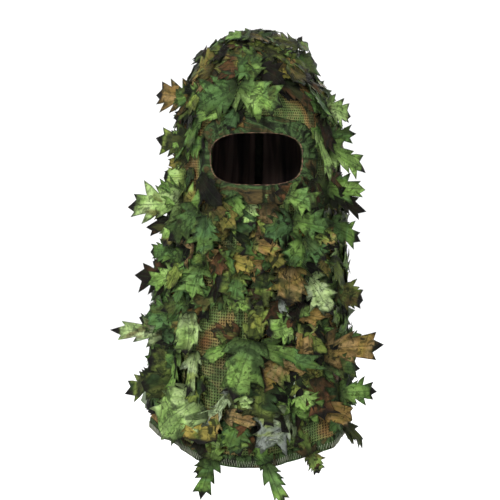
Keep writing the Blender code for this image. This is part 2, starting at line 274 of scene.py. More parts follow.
def thicken(piece, thickness, reverse=0, edge=0):
    """Real thickness. reverse and edge are how much further on the underside's and edge's materials are."""
    solid = piece.modifiers.new("thickness", "SOLIDIFY")
    solid.thickness = thickness
    solid.offset = 0.0
    solid.material_offset = reverse
    solid.material_offset_rim = edge


def hang(piece, body):
    """The drape's cloth stays where it is made, with no parent, and the hood's cloth rides on the hood."""
    if body == "drape":
        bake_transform(piece)
    else:
        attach(piece, "hood")


def flat_place(angle, reach):
    """Metres on the flat cloth, for the print."""
    return np.stack(np.broadcast_arrays(np.radians(angle) * PRINT_RADIUS, reach), -1)


def path_length(points):
    return float(np.linalg.norm(np.diff(points, axis=0), axis=1).sum())


def used_only(points, faces, uv):
    """The same quads without the points that none of them has."""
    used, numbers = np.unique(faces.ravel(), return_inverse=True)
    return points[used], numbers.reshape(-1, 4), uv[used]


def cloth_tree():
    """A search tree of the cloth's surface, for laying leaves on it."""
    angles = np.arange(-180, 180, 3.0)
    reaches = np.linspace(0.002, HEM_REACH, 150)
    points = cloth_point(angles[None, :], reaches[:, None]).reshape(-1, 3)
    return BVHTree.FromPolygons([Vector(p) for p in points], grid_faces(len(reaches), len(angles)))


def lay(points, lift):
    """Points moved to lift above the cloth nearest to them."""
    found = []
    for point, height in zip(points, np.broadcast_to(lift, len(points))):
        near, normal, _, _ = TREE.find_nearest(Vector(point))
        found.append(np.array(near) + np.array(normal) * height)
    return np.array(found)


TREE = cloth_tree()

# ---------------------------------------------------------------- materials


class Look:
    """A material as its nodes are put together. Sockets take a value or another node's output."""

    def __init__(self, name, **fixed):
        self.material = bpy.data.materials.new(name)
        self.material.use_nodes = True
        self.tree = self.material.node_tree
        self.shader = self.tree.nodes["Principled BSDF"]
        self.set(self.shader, fixed)

    def plug(self, socket, value):
        if isinstance(value, bpy.types.NodeSocket):
            self.tree.links.new(value, socket)
        else:
            socket.default_value = value

    def set(self, node, values):
        for key, value in values.items():
            name = key.replace("_", " ") if isinstance(key, str) else key
            self.plug(node.inputs[name], value)

    def node(self, kind, values=None, **settings):
        made = self.tree.nodes.new("ShaderNode" + kind)
        for key, value in settings.items():
            setattr(made, key, value)
        self.set(made, values or {})
        return made

    def math(self, operation, a, b=0.0, c=0.0):
        return self.node("Math", {0: a, 1: b, 2: c}, operation=operation).outputs[0]

    def between(self, value, low, high, to_low=0.0, to_high=1.0):
        values = {"Value": value, "From_Min": low, "From_Max": high, "To_Min": to_low, "To_Max": to_high}
        return self.node("MapRange", values, interpolation_type="SMOOTHSTEP").outputs[0]

    def fraction(self, value, turns):
        return self.math("FRACT", self.math("MULTIPLY", value, turns))

    def cloth(self):
        """Metres on the flat cloth."""
        return self.node("UVMap", uv_map="cloth").outputs[0]

    def drawn_out(self, vector, share):
        """A vector that makes patterns longer down the cloth, by one over share."""
        return self.node("Mapping", {"Vector": vector, "Scale": (1.0, share, 1.0)}).outputs[0]

    def noise(self, vector, scale, detail=2.0, distortion=0.0):
        values = {"Vector": vector, "Scale": scale, "Detail": detail, "Distortion": distortion}
        return self.node("TexNoise", values).outputs["Fac"]

    def mix(self, share, a, b, blend="MIX"):
        """Colour a where share is 0, and b where it is 1."""
        made = self.node("Mix", data_type="RGBA", blend_type=blend)
        for name, kind, value in (("Factor", "VALUE", share), ("A", "RGBA", a), ("B", "RGBA", b)):
            socket = next(s for s in made.inputs if s.name == name and s.type == kind)
            self.plug(socket, (*value, 1.0) if isinstance(value, tuple) else value)
        return next(s for s in made.outputs if s.type == "RGBA")

    def stain(self, colour, mask, share, other):
        """The colour with another laid over it where the mask is 1, as strongly as share."""
        return self.mix(self.math("MULTIPLY", mask, share), colour, other)

    def ramp(self, value, stops, interpolation="LINEAR"):
        made = self.node("ValToRGB", {"Fac": value})
        made.color_ramp.interpolation = interpolation
        elements = made.color_ramp.elements
        while len(elements) < len(stops):
            elements.new(1.0)
        for element, (place, colour) in zip(elements, stops):
            element.position = place
            element.color = (*colour, 1.0)
        return made.outputs["Color"]

    def coat(self, colour, pattern, smoothest, roughest):
        """Sets the colour, and the roughness that follows a noise pattern."""
        rough = self.between(pattern, 0.3, 0.7, smoothest, roughest)
        self.set(self.shader, {"Base Color": colour, "Roughness": rough})

    def bump(self, height, distance, strength=1.0):
        values = {"Height": height, "Distance": distance, "Strength": strength}
        self.set(self.shader, {"Normal": self.node("Bump", values).outputs["Normal"]})


def srgb(*colour):
    """A linear colour from its 0 to 255 values."""
    return tuple(((c / 255 + 0.055) / 1.055) ** 2.4 if c > 10 else c / 255 / 12.92 for c in colour)


# The print's colours. A leaf's print also takes in its neighbours in this list
TONES = {
    "grey": srgb(124, 130, 124),
    "pale": srgb(148, 166, 122),
    "light": srgb(138, 162, 108),
    "bright": srgb(116, 148, 78),
    "green": srgb(84, 114, 54),
    "teal": srgb(78, 112, 72),
    "forest": srgb(44, 60, 34),
    "lime": srgb(122, 140, 66),
    "olive": srgb(76, 82, 44),
    "yellow": srgb(140, 134, 60),
    "ochre": srgb(122, 106, 54),
    "tan": srgb(146, 132, 90),
    "brown": srgb(84, 72, 40),
    "rust": srgb(98, 76, 42),
    "bark": srgb(46, 36, 26),
    "black": srgb(14, 13, 9),
}
TONE_NAMES = list(TONES)
# The colour of a leaf's patches, picked by its seed
SECOND = ("ochre", "green", "brown", "lime", "forest", "olive", "bark", "bright")
# A leaf's tip is printed dark where the fraction of its seed times this is over a half
TIP_TURNS = 7.3
# Metres from thread to thread: of the leaf cloth, the inner cloth and the opening's cloth
LEAF_WEAVE, INNER_WEAVE, BAND_WEAVE = 0.0011, 0.0012, 0.0021


def tone_value(name):
    return (TONE_NAMES.index(name) + 0.5) / len(TONE_NAMES)


def weave(look, uv, pitch):
    """0 to 1 over the threads of a plain weave."""
    scaled = look.node("VectorMath", {0: uv, "Scale": 2 * math.pi / pitch}, operation="SCALE").outputs[0]
    split = look.node("SeparateXYZ", {0: scaled})
    across = look.math("SINE", split.outputs[0])
    along = look.math("SINE", split.outputs[1])
    return look.math("MULTIPLY_ADD", look.math("MULTIPLY", across, along), 0.5, 0.5)


def leaf_tones(look, place, tone, seed, mottle):
    """The leaf's own tone, drifting into its neighbours, with patches of a second one."""
    stops = [(k / len(TONES), colour) for k, colour in enumerate(TONES.values())]
    drift = look.between(look.noise(place, 27.0, 2.0, 0.8), 0.3, 0.7, -0.10, 0.10)
    own = look.ramp(tone, stops, "CONSTANT")
    colour = look.mix(0.6, own, look.ramp(look.math("ADD", tone, drift), stops))
    picks = [(k / len(SECOND), TONES[name]) for k, name in enumerate(SECOND)]
    second = look.ramp(look.fraction(seed, 5.7), picks, "CONSTANT")
    patches = look.between(look.noise(place, 30.0, 3.0, 1.4), 0.50, 0.60)
    patched = look.between(look.fraction(seed, 3.1), 0.30, 0.40, 0.0, 0.72)
    colour = look.stain(colour, patches, patched, second)
    colour = look.node("Gamma", {"Color": colour, "Gamma": 1.34}).outputs[0]
    values = {"Hue": 0.485, "Saturation": 0.91, "Value": look.between(mottle, 0.25, 0.75, 0.58, 1.50)}
    return look.node("HueSaturation", {**values, "Color": colour}).outputs[0]


def leaf_veins(look, place, along, across):
    """How strong the veins and the painted highlight beside them are here. They spread from the stitch line.
    """
    spread = look.math("ARCTAN2", across, look.math("ADD", along, 0.006))
    crooked = look.math("MULTIPLY_ADD", look.noise(place, 90.0, 2.0), 0.25, spread)
    ray = look.math("PINGPONG", crooked, 0.19)
    vein = look.between(ray, 0.008, 0.035, 1.0, 0.0)
    midrib = look.between(look.math("ABSOLUTE", across), 0.0003, 0.0010, 1.0, 0.0)
    lines = look.math("MAXIMUM", look.math("MULTIPLY", vein, 0.7), midrib)
    return lines, look.between(ray, 0.03, 0.10, 0.28, 0.0)


def leaf_look():
    """Printed cloth: the leaf's tones with veins and dark marks, darker at its edge and tip, with painted
    shade towards its stitch line and a painted highlight beside its veins.
    """
    look = Look("leaf_print", Specular_IOR_Level=0.06)
    uv = look.cloth()
    facts = look.node("SeparateXYZ", {0: look.node("Attribute", attribute_name="leaf").outputs["Vector"]})
    tone, seed, tip = facts.outputs
    along, across = look.node("SeparateXYZ", {0: uv}).outputs[:2]
    own_print = {0: along, 1: across, 2: look.math("MULTIPLY", seed, 9.0)}
    place = look.node("CombineXYZ", own_print).outputs[0]
    mottle = look.noise(place, 110.0, 4.0, 0.8)
    colour = leaf_tones(look, place, tone, seed, mottle)

    blotch = look.between(look.noise(place, 52.0, 3.0, 1.8), 0.60, 0.63)
    colour = look.stain(colour, blotch, look.between(tone, 0.26, 0.32, 0.4, 0.85), srgb(15, 18, 8))
    speckle = look.between(look.noise(place, 420.0, 2.0), 0.56, 0.66)
    colour = look.stain(colour, speckle, 0.4, srgb(22, 25, 13))
    lines, beside = leaf_veins(look, place, along, across)
    colour = look.stain(colour, lines, 0.46, srgb(26, 36, 18))
    # Painted highlight: the cloth beside the veins is lightened as if its raised parts caught the light
    colour = look.mix(beside, colour, srgb(126, 150, 84), "SOFT_LIGHT")

    rim = look.node("Attribute", attribute_name="rim").outputs["Fac"]
    colour = look.mix(look.between(rim, 0.55, 1.0, 0.0, 0.6), colour, srgb(17, 21, 9))
    fleck = look.between(look.noise(place, 150.0, 3.0, 1.2), 0.585, 0.60)
    colour = look.stain(colour, fleck, 0.6, srgb(14, 18, 7))
    # Painted shade: the leaf darkens towards its stitch line, where it lies under its neighbours
    colour = look.mix(look.between(tip, 0.0, 0.40, 0.74, 0.0), colour, srgb(14, 18, 7))
    edge = look.math("MULTIPLY_ADD", look.noise(place, 70.0, 2.0), 0.5, tip)
    burnt = look.between(look.fraction(seed, TIP_TURNS), 0.40, 0.50)
    colour = look.stain(colour, look.between(edge, 0.98, 1.14), burnt, srgb(14, 13, 10))
    look.coat(colour, mottle, 0.42, 0.68)
    height = look.math("MULTIPLY_ADD", look.noise(place, 75.0, 3.0, 0.6), 6.0, weave(look, uv, LEAF_WEAVE))
    look.bump(look.math("SUBTRACT", height, look.math("MULTIPLY", lines, 1.2)), 0.00025, 0.9)
    return look.material


def reverse_look():
    """The leaf cloth's unprinted underside, pale grey-green with the weave showing."""
    look = Look("leaf_reverse", Specular_IOR_Level=0.1)
    uv = look.cloth()
    cloudy = look.noise(uv, 60.0, 3.0)
    threads = weave(look, uv, LEAF_WEAVE)
    colour = look.ramp(cloudy, [(0.3, srgb(86, 98, 76)), (0.7, srgb(136, 146, 124))])
    look.coat(look.stain(colour, threads, 0.25, srgb(84, 92, 78)), cloudy, 0.55, 0.75)
    look.bump(threads, 0.0002, 0.7)
    return look.material


def net_look():
    """Knitted threads with a woodland print in greens, browns and blacks, and trunk-like uprights."""
    look = Look("printed_net", Specular_IOR_Level=0.08)
    uv = look.cloth()

    def shades(*stops):
        return [(place, tuple(0.86 * part for part in srgb(*colour))) for place, colour in stops]

    colour = look.ramp(look.noise(look.drawn_out(uv, 0.45), 17.0, 4.0, 1.6), shades(
        (0.00, (30, 30, 24)), (0.37, (46, 50, 34)), (0.43, (76, 98, 56)), (0.49, (92, 112, 62)),
        (0.54, (118, 100, 60)), (0.60, (128, 88, 52)), (0.66, (56, 48, 36))))
    flecks = look.ramp(look.noise(uv, 60.0, 3.0, 1.2), shades(
        (0.35, (44, 48, 34)), (0.50, (90, 104, 60)), (0.64, (146, 128, 84))))
    twist = look.noise(uv, 900.0, 2.0)
    look.coat(look.mix(0.38, colour, flecks), twist, 0.6, 0.85)
    look.bump(twist, 0.0002, 0.8)
    return look.material


def painted_shade_sheet_look(name, gloss, streaks, stops):
    """The near-black inner sheet, painted as the shade inside the hood, with faint upright streaks: how
    long, how fine and how tangled.
    """
    look = Look(name, Specular_IOR_Level=gloss)
    uv = look.cloth()
    share, *pattern = streaks
    streak = look.noise(look.drawn_out(uv, share), *pattern)
    look.coat(look.ramp(streak, stops), streak, 0.85, 0.95)
    look.bump(weave(look, uv, INNER_WEAVE), 0.0002, 0.5)
    return look.material


def band_look():
    """The close printed cloth round the face opening, with painted shade in its pleats."""
    look = Look("opening_cloth", Specular_IOR_Level=0.05)
    uv = look.cloth()
    large = look.noise(uv, 48.0, 5.0, 1.6)
    colour = look.ramp(large, [
        (0.34, srgb(18, 20, 12)),
        (0.42, srgb(33, 43, 25)),
        (0.48, srgb(64, 86, 48)),
        (0.54, srgb(37, 50, 28)),
        (0.60, srgb(72, 60, 35)),
        (0.66, srgb(26, 24, 17)),
    ])
    threads = weave(look, uv, BAND_WEAVE)
    colour = look.stain(colour, threads, 0.5, srgb(24, 28, 20))
    pleats_and_shade = look.noise(look.drawn_out(uv, 0.10), 260.0, 3.0, 0.3)
    # Painted shade: the cloth darkens in its pleats, the same pattern that gives the pleats their bumps
    colour = look.mix(look.between(pleats_and_shade, 0.50, 0.64, 0.0, 0.75), colour, srgb(12, 14, 7))
    look.coat(colour, large, 0.6, 0.8)
    look.bump(look.math("MULTIPLY_ADD", pleats_and_shade, -5.0, threads), 0.0004, 0.9)
    return look.material


def yarn_look(name, colour, darker, pitch):
    """Thread or tape: one dyed colour with its ply and a little wear."""
    look = Look(name, Specular_IOR_Level=0.12)
    uv = look.cloth()
    ply = weave(look, uv, pitch)
    worn = look.noise(uv, 120.0, 3.0)
    shade = look.mix(look.between(worn, 0.3, 0.7), srgb(*darker), srgb(*colour))
    look.coat(look.stain(shade, ply, 0.4, srgb(*darker)), worn, 0.6, 0.85)
    look.bump(ply, 0.0003, 0.8)
    return look.material


LEAF = leaf_look()
REVERSE = reverse_look()
NET = net_look()
# Painted shade: the inner sheet is near-black to stand for the shade inside the hood, behind the net
PAINTED_SHADE_SHEET = painted_shade_sheet_look("painted_shade_sheet", 0.03, (0.12, 90.0, 3.0), [
    (0.35, (0.018, 0.015, 0.011)), (0.65, (0.062, 0.044, 0.030))])
PAINTED_SHADE_SHEET_INSIDE = painted_shade_sheet_look("painted_shade_sheet_inside", 0.05, (0.10, 70.0, 4.0, 0.4), [
    (0.35, (0.016, 0.013, 0.014)), (0.50, (0.045, 0.033, 0.030)), (0.65, (0.10, 0.07, 0.06))])
BAND = band_look()
RIM_THREAD = yarn_look("rim_thread", (128, 98, 78), (44, 36, 32), 0.0010)
DARK_TAPE = yarn_look("seam_tape", (52, 56, 44), (24, 26, 22), 0.0012)
PALE_THREAD = yarn_look("pale_thread", (186, 190, 168), (128, 132, 112), 0.0008)
DARK_THREAD = yarn_look("dark_thread", (18, 23, 12), (9, 12, 6), 0.0008)

# ---------------------------------------------------------------- net and inner cloth

NET_PITCH = 0.0026
# Half the width of a thread
NET_THREAD = 0.00078
NET_RISE = 0.0003
# How far under the net the inner cloth lies
INNER_DEPTH = 0.0016
INNER_THICKNESS = 0.0004
# How far from the opening's edge the net and the inner cloth are cut away
NET_CUT, INNER_CUT = 0.006, 0.004
# The hood's net has its meshes counted afresh at these reaches, as at a dart
DARTS = [0.0015, 0.008, 0.020, 0.040, 0.066, YOKE_REACH]
HOOD_PANELS = (
    ("net_right_side", 90, 180, ["right_crown_panel"]),
    ("net_right_front", -180, -90, []),
    ("net_left_front", -90, 0, ["left_crown_panel"]),
    ("net_left_side", 0, 90, []),
)
DRAPE_PANELS = (
    ("net_front_veil", -180, 0, ["front_veil_panel"]),
    ("net_back_drape", 0, 180, ["back_drape_panel"]),
)


def in_opening(points, margin):
    """Which points lie in front, inside the face opening grown by margin."""
    across = np.abs(points[..., 0] - OPENING_SIDE) / (OPENING_HALF[0] + margin)
    up = np.abs(points[..., 2] - SEAT_DEPTH + OPENING_DROP) / (OPENING_HALF[1] + margin)
    return (across**OPENING_POWER + up**OPENING_POWER < 1) & (points[..., 1] < 0)


def cell_corners(grid):
    """The grid's values at the four corners of each of its cells, in turn."""
    return grid[:-1, :-1], grid[:-1, 1:], grid[1:, 1:], grid[1:, :-1]


def net_band(start, end, top, bottom):
    """(points, faces, uv) of a net between two angles and two reaches.

    Its threads cross at the corners of a grid. Each mesh of the net is a hole with four quads of
    thread round it on both sides, and a thread is raised along its middle."""
    way_round = path_length(cloth_point(np.linspace(start, end, 60), 0.5 * (top + bottom)))
    columns = max(8, round(way_round / NET_PITCH))
    rows = max(1, round((bottom - top) / NET_PITCH))
    angles = np.linspace(start, end, columns + 1)
    reaches = np.linspace(top, bottom, rows + 1)
    grid_a, grid_r = np.meshgrid(angles, reaches)
    middle_a, middle_r = (0.5 * (grid[:-1, :-1] + grid[1:, 1:]) for grid in (grid_a, grid_r))
    closed = ~in_opening(cloth_point(middle_a, middle_r), NET_CUT)
    inside = np.logical_and.reduce(cell_corners(np.pad(closed, 1)))

    points = [off_cloth(grid_a, grid_r, lift).reshape(-1, 3) for lift in (NET_RISE, -NET_RISE * 0.5)]
    uv = [flat_place(grid_a, grid_r).reshape(-1, 2)] * 2
    step_a, step_r = angles[1] - angles[0], reaches[1] - reaches[0]
    edge_a, edge_r = NET_THREAD / NET_PITCH * step_a, NET_THREAD / NET_PITCH * step_r
    for right, low in ((0, 0), (1, 0), (1, 1), (0, 1)):
        a = grid_a[:-1, :-1] + (step_a - edge_a if right else edge_a)
        r = grid_r[:-1, :-1] + (step_r - edge_r if low else edge_r)
        points.append(cloth_point(a, r).reshape(-1, 3))
        uv.append(flat_place(a, r).reshape(-1, 2))

    count, cells = grid_a.size, rows * columns
    upper = np.arange(count).reshape(rows + 1, columns + 1)
    lower = np.where(inside, upper + count, upper)
    cell = np.arange(cells).reshape(rows, columns)[closed]
    above, below = ([corner[closed] for corner in cell_corners(grid)] for grid in (upper, lower))
    faces = []
    for k in range(4):
        n = (k + 1) % 4
        inner, following = 2 * count + k * cells + cell, 2 * count + n * cells + cell
        faces.append(np.stack((above[k], inner, following, above[n]), -1))
        faces.append(np.stack((below[n], following, inner, below[k]), -1))
    return np.vstack(points), np.vstack(faces), np.vstack(uv)


def net_piece(name, start, end, steps, nodes, body):
    """A net panel between two angles. steps are the reaches at which its meshes are counted afresh."""
    bands, base = [], 0
    for top, bottom in zip(steps, steps[1:]):
        points, faces, uv = net_band(start, end, top, bottom)
        bands.append((points, faces + base, uv))
        base += len(points)
    points, faces, uv = used_only(*(np.vstack(part) for part in zip(*bands)))
    made = mesh_piece(name, points, faces, [NET], uv)
    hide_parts(*nodes)
    hang(made, body)


def painted_shade_sheet(name, top, bottom, rows, body):
    """The dark sheet inside the net, painted as the shade that fills the hood behind it. It is cut away at
    the face opening, under the opening's cloth.
    """
    angles = np.linspace(-180, 180, 181)[:-1]
    reaches = np.linspace(top, bottom, rows)
    points = off_cloth(angles[None, :], reaches[:, None], -INNER_DEPTH)
    uv = flat_place(angles[None, :], reaches[:, None]).reshape(-1, 2)
    centres = 0.5 * (points[:-1] + np.roll(points, -1, 1)[1:])
    faces = np.array(grid_faces(rows, len(angles))).reshape(rows - 1, len(angles), 4)
    faces = faces[~in_opening(centres, INNER_CUT)]
    points, faces, uv = used_only(points.reshape(-1, 3), faces, uv)
    made = mesh_piece(name, points, faces, [PAINTED_SHADE_SHEET, PAINTED_SHADE_SHEET_INSIDE], uv)
    thicken(made, INNER_THICKNESS, reverse=1)
    hang(made, body)


def shell():
    """The net and the painted shade sheet inside it."""
    painted_shade_sheet("painted_shade_sheet", 0.0021, YOKE_REACH, 90, "hood")
    painted_shade_sheet("painted_shade_sheet_drape", YOKE_REACH, HEM_REACH, 70, "drape")
    for name, start, end, nodes in HOOD_PANELS:
        net_piece(name, start, end, DARTS, nodes, "hood")
    for name, start, end, nodes in DRAPE_PANELS:
        net_piece(name, start, end, [YOKE_REACH, HEM_REACH - 0.004], nodes, "drape")


# ---------------------------------------------------------------- trims

# Bindings, from one edge of their cloth to the other, round the fold: how far over the hood's cloth from
# its edge, and how high. The opening's starts inside the hood, and the hem's outside
OPENING_SECTION = (
    (0.013, -0.0034), (0.007, -0.0038), (0.002, -0.0042), (-0.0012, -0.0034), (-0.0024, -0.0016),
    (-0.0020, 0.0004), (-0.0004, 0.0018), (0.0015, 0.0024), (0.0035, 0.0022), (0.0055, 0.0016),
    (0.0075, 0.0015), (0.0100, 0.0018), (0.0125, 0.0018), (0.0145, 0.0012), (0.0160, 0.0005),
)
HEM_SECTION = (
    (0.0100, 0.0008), (0.0060, 0.0013), (0.0010, 0.0014), (-0.0020, 0.0004), (-0.0022, -0.0016),
    (-0.0004, -0.0032), (0.0060, -0.0032), (0.0100, -0.0026),
)
BINDING_THICKNESS = 0.0006
# Widths of the two bindings before they are folded
ALLOWANCE_HALF, RIDGE_HALF = 0.0045, 0.0012
ALLOWANCE_DEPTH, RIDGE_DEPTH = -INNER_DEPTH - 0.0012, 0.0006
# How far the seams end from the opening's edge, and above the yoke's seam
OPENING_GAP, YOKE_GAP = 0.016, 0.012
# The radius at which turns round the opening become metres of print, and how far apart the section's
# points are on the flat opening cloth and hem tape
OPENING_PRINT_RADIUS = 0.045
OPENING_PRINT_STEP, HEM_PRINT_STEP = 0.0026, 0.004
# How high the middle of a seam tape stands over its edges
TAPE_RISE = 0.0006
# The opening's stitched rim: its radius, how far out over the cloth from the fold it lies, and how high
RIM_RADIUS, RIM_OUT, RIM_HEIGHT = 0.0009, -0.0019, -0.0006
# The hem's zigzag: its stitches, its radius, how far up from the hem its ends are, and how high it lies
HEM_STITCHES = 260
ZIGZAG_RADIUS, ZIGZAG_ENDS, ZIGZAG_HEIGHT = 0.00045, (0.0056, 0.0002), 0.0022


def swept(name, rings, look, closed):
    """A closed solid through rings of points, with end caps unless it joins up."""
    rings = np.asarray(rings, float)
    length, count = rings.shape[:2]
    steps = np.linalg.norm(np.diff(rings[:, 0], axis=0), axis=1)
    along = np.concatenate(([0.0], np.cumsum(steps)))
    around = np.linspace(0.0, 1.0, count) * np.linalg.norm(rings[0, 0] - rings[0, count // 2]) * 2
    uv = np.stack(np.broadcast_arrays(along[:, None], around[None, :]), -1).reshape(-1, 2)
    faces = grid_faces(length, count, closed)
    if not closed:
        faces.append(tuple(range(count)))
        faces.append(tuple(reversed(range((length - 1) * count, length * count))))
    return mesh_piece(name, rings.reshape(-1, 3), faces, [look], uv)


def thread(name, centre, along, normal, sides, radius, look):
    """A round thread that joins up, along points on the cloth with these directions and normals."""
    aside = unit(np.cross(along, normal))
    turns = np.linspace(0, 2 * math.pi, sides, endpoint=False)
    rings = [centre + aside * radius * math.cos(t) + normal * radius * math.sin(t) for t in turns]
    return swept(name, np.stack(rings, 1), look, closed=True)


def ring_steps(points):
    """From the point before to the point after, at each point of a closed ring."""
    return np.roll(points, -1, 0) - np.roll(points, 1, 0)


def opening_ring(count):
    """(point, way out over the cloth, normal, turn) round the fold of the opening's binding."""
    turn = 2 * math.pi * (np.arange(count) + 0.5) / count
    power = 2 / OPENING_POWER
    x = OPENING_SIDE + OPENING_HALF[0] * np.sign(np.cos(turn)) * np.abs(np.cos(turn)) ** power
    z = SEAT_DEPTH - OPENING_DROP + OPENING_HALF[1] * np.sign(np.sin(turn)) * np.abs(np.sin(turn)) ** power
    point, _, _, normal = cloth_frame(*front_place(x, z))
    return point, unit(np.cross(ring_steps(point), normal)), normal, turn


def binding(name, rows, uv, node):
    """Folded cloth through rows of points round the hood."""
    faces = [tuple(reversed(f)) for f in grid_faces(len(rows), len(rows[0]))]
    made = mesh_piece(name, np.array(rows).reshape(-1, 3), faces, [BAND], np.array(uv).reshape(-1, 2))
    thicken(made, BINDING_THICKNESS)
    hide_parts(node)
    return made


def opening_cloth(point, out, normal, turn):
    """Gathered cloth round the face opening, folded over its elastic."""
    # The cloth is widest below the opening and at its sides
    widen = 1.0 + 0.20 * np.clip(-np.sin(turn), 0, 1) + 0.15 * np.sin(3 * turn + 1.0)
    gathers = np.sin(31 * turn) * 0.5 + np.sin(53 * turn + 1.0) * 0.3 + 0.6 * np.sin(19 * turn + 2.0)
    widest = max(across for across, _ in OPENING_SECTION)
    rows, uv = [], []
    for k, (across, height) in enumerate(OPENING_SECTION):
        share = max(across, 0.0) / widest
        reached = across * np.where(across > 0.008, widen, 1.0)
        pucker = gathers * 0.0014 * (0.3 + math.sin(math.pi * min(1.0, share + 0.15)))
        base = point + out * (reached + 0.0006 * np.sin(9 * turn + k) * (share > 0.5))[:, None]
        if across > 0.006 and height > 0:
            rows.append(lay(base, height + pucker))
        else:
            rows.append(base + normal * (height + pucker * 0.5)[:, None])
        uv.append(np.stack((turn * OPENING_PRINT_RADIUS, np.full(len(turn), k * OPENING_PRINT_STEP)), -1))
    band = binding("opening_cloth", rows, uv, "opening_binding")
    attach(band, "hood")


def opening_rim(point, out, normal, turn):
    """The stitched rim of the face opening, over its elastic."""
    rim = point + out * RIM_OUT + normal * RIM_HEIGHT
    along = unit(ring_steps(rim))
    wobble = 0.00025 * np.sin(57 * turn)[:, None]
    made = thread("opening_rim", rim + out * wobble, along, normal, 8, RIM_RADIUS, RIM_THREAD)
    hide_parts("opening_elastic")
    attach(made, "hood")


def opening_trim():
    ring = opening_ring(360)
    opening_cloth(*ring)
    opening_rim(*ring)


def tape(name, angles, reaches, body, node=None, half=ALLOWANCE_HALF, depth=ALLOWANCE_DEPTH):
    """A flat tape under or over the cloth, along a line of places, with overlocked wavy edges."""
    point, _, _, normal = cloth_frame(angles, reaches)
    along = unit(np.gradient(point, axis=0))
    aside = unit(np.cross(along, normal))
    wave = 1 + 0.06 * np.sin(np.arange(len(point)) * 1.7)[:, None]
    centre = point + normal * depth
    side = aside * half * wave
    thick = normal * TAPE_RISE
    rings = np.stack((centre + side, centre + thick, centre - side, centre - thick), axis=1)
    made = swept(name, rings, DARK_TAPE, closed=False)
    if node:
        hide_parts(node)
    hang(made, body)


def seams():
    """Seam allowances inside, and the raised seam over the crown."""
    brim = float(reach_at(OPENING_DROP - OPENING_HALF[1] - OPENING_GAP))
    chin = float(reach_at(OPENING_DROP + OPENING_HALF[1] + OPENING_GAP))
    front = np.linspace(brim, 0.003, 50)
    behind = np.linspace(0.003, YOKE_REACH - YOKE_GAP, 90)
    reaches = np.concatenate((front, behind))
    angles = np.where(np.arange(len(reaches)) < len(front), -90.0, 90.0)
    tape("crown_seam_allowance", angles, reaches, "hood", "crown_seam_tape")
    tape("crown_seam_ridge", angles, reaches, "hood", half=RIDGE_HALF, depth=RIDGE_DEPTH)
    down = np.linspace(chin, YOKE_REACH - YOKE_GAP, 12)
    tape("chin_seam_allowance", -90.0, down, "hood", "chin_seam_tape")
    tape("yoke_seam_allowance", np.linspace(-180, 180, 241), YOKE_REACH - 0.007, "hood", "yoke_seam_tape")
    down = np.linspace(YOKE_REACH + 0.004, HEM_REACH - 0.013, 70)
    for side, angle in (("right", 180.0), ("left", 0.0)):
        tape(f"{side}_side_seam_allowance", angle, down, "drape", f"{side}_side_seam_tape")


def hem_tape():
    """The folded hem tape."""
    angles = np.linspace(-180, 180, 480, endpoint=False)
    point, _, down, normal = cloth_frame(angles, HEM_REACH - 0.0005)
    rows, uv = [], []
    for k, (up, height) in enumerate(HEM_SECTION):
        ruck = 0.0004 * np.sin(np.radians(angles) * 45 + k * 0.5)
        rows.append(point - down * up + normal * (height + ruck)[:, None])
        uv.append(flat_place(angles, k * HEM_PRINT_STEP))
    made = binding("hem_tape", rows, uv, "hem_binding")
    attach(made, "drape")


def hem_zigzag():
    """The pale zigzag that sews the hem tape down."""
    rise = np.tile(ZIGZAG_ENDS, HEM_STITCHES)
    angles = np.linspace(-180, 180, len(rise), endpoint=False)
    point, _, down, normal = cloth_frame(angles, HEM_REACH)
    centre = point - down * rise[:, None] + normal * ZIGZAG_HEIGHT
    made = thread("hem_zigzag", centre, unit(ring_steps(centre)), normal, 5, ZIGZAG_RADIUS, PALE_THREAD)
    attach(made, "drape")


# ---------------------------------------------------------------- leaves

# Fewest and most teeth along a side of a wing, how deep the cuts between them are as a share of the
# width there, and half the stitch line as a share of the span
FAMILIES = {
    "maple": (3, 4, 0.52, 0.30),
    "oak": (3, 3, 0.38, 0.26),
    "holly": (4, 5, 0.36, 0.34),
    "fan": (4, 5, 0.42, 0.22),
    "beech": (5, 6, 0.15, 0.24),
    "claw": (2, 3, 0.56, 0.30),
    "lance": (2, 3, 0.48, 0.20),
}
# The side of a leaf's small triangles, as a share of its length and span
CELL = 0.085
ROOT_STEPS = 5
LEAF_THICKNESS = 0.0004
# How high the slow waves of a leaf are, and from what height up a leaf leaves the cloth until it is free
WAVE = 0.0017
LEAVES_CLOTH, IS_FREE = 0.012, 0.035
STITCH = 0.0028
# A stitch's sections: how far along it, half its thickness, and how far it rises
STITCH_SECTIONS = (
    (0.00, 0.00015, 0.0), (0.25, 0.00042, 0.0004), (0.75, 0.00042, 0.0004), (1.00, 0.00015, 0.0),
)

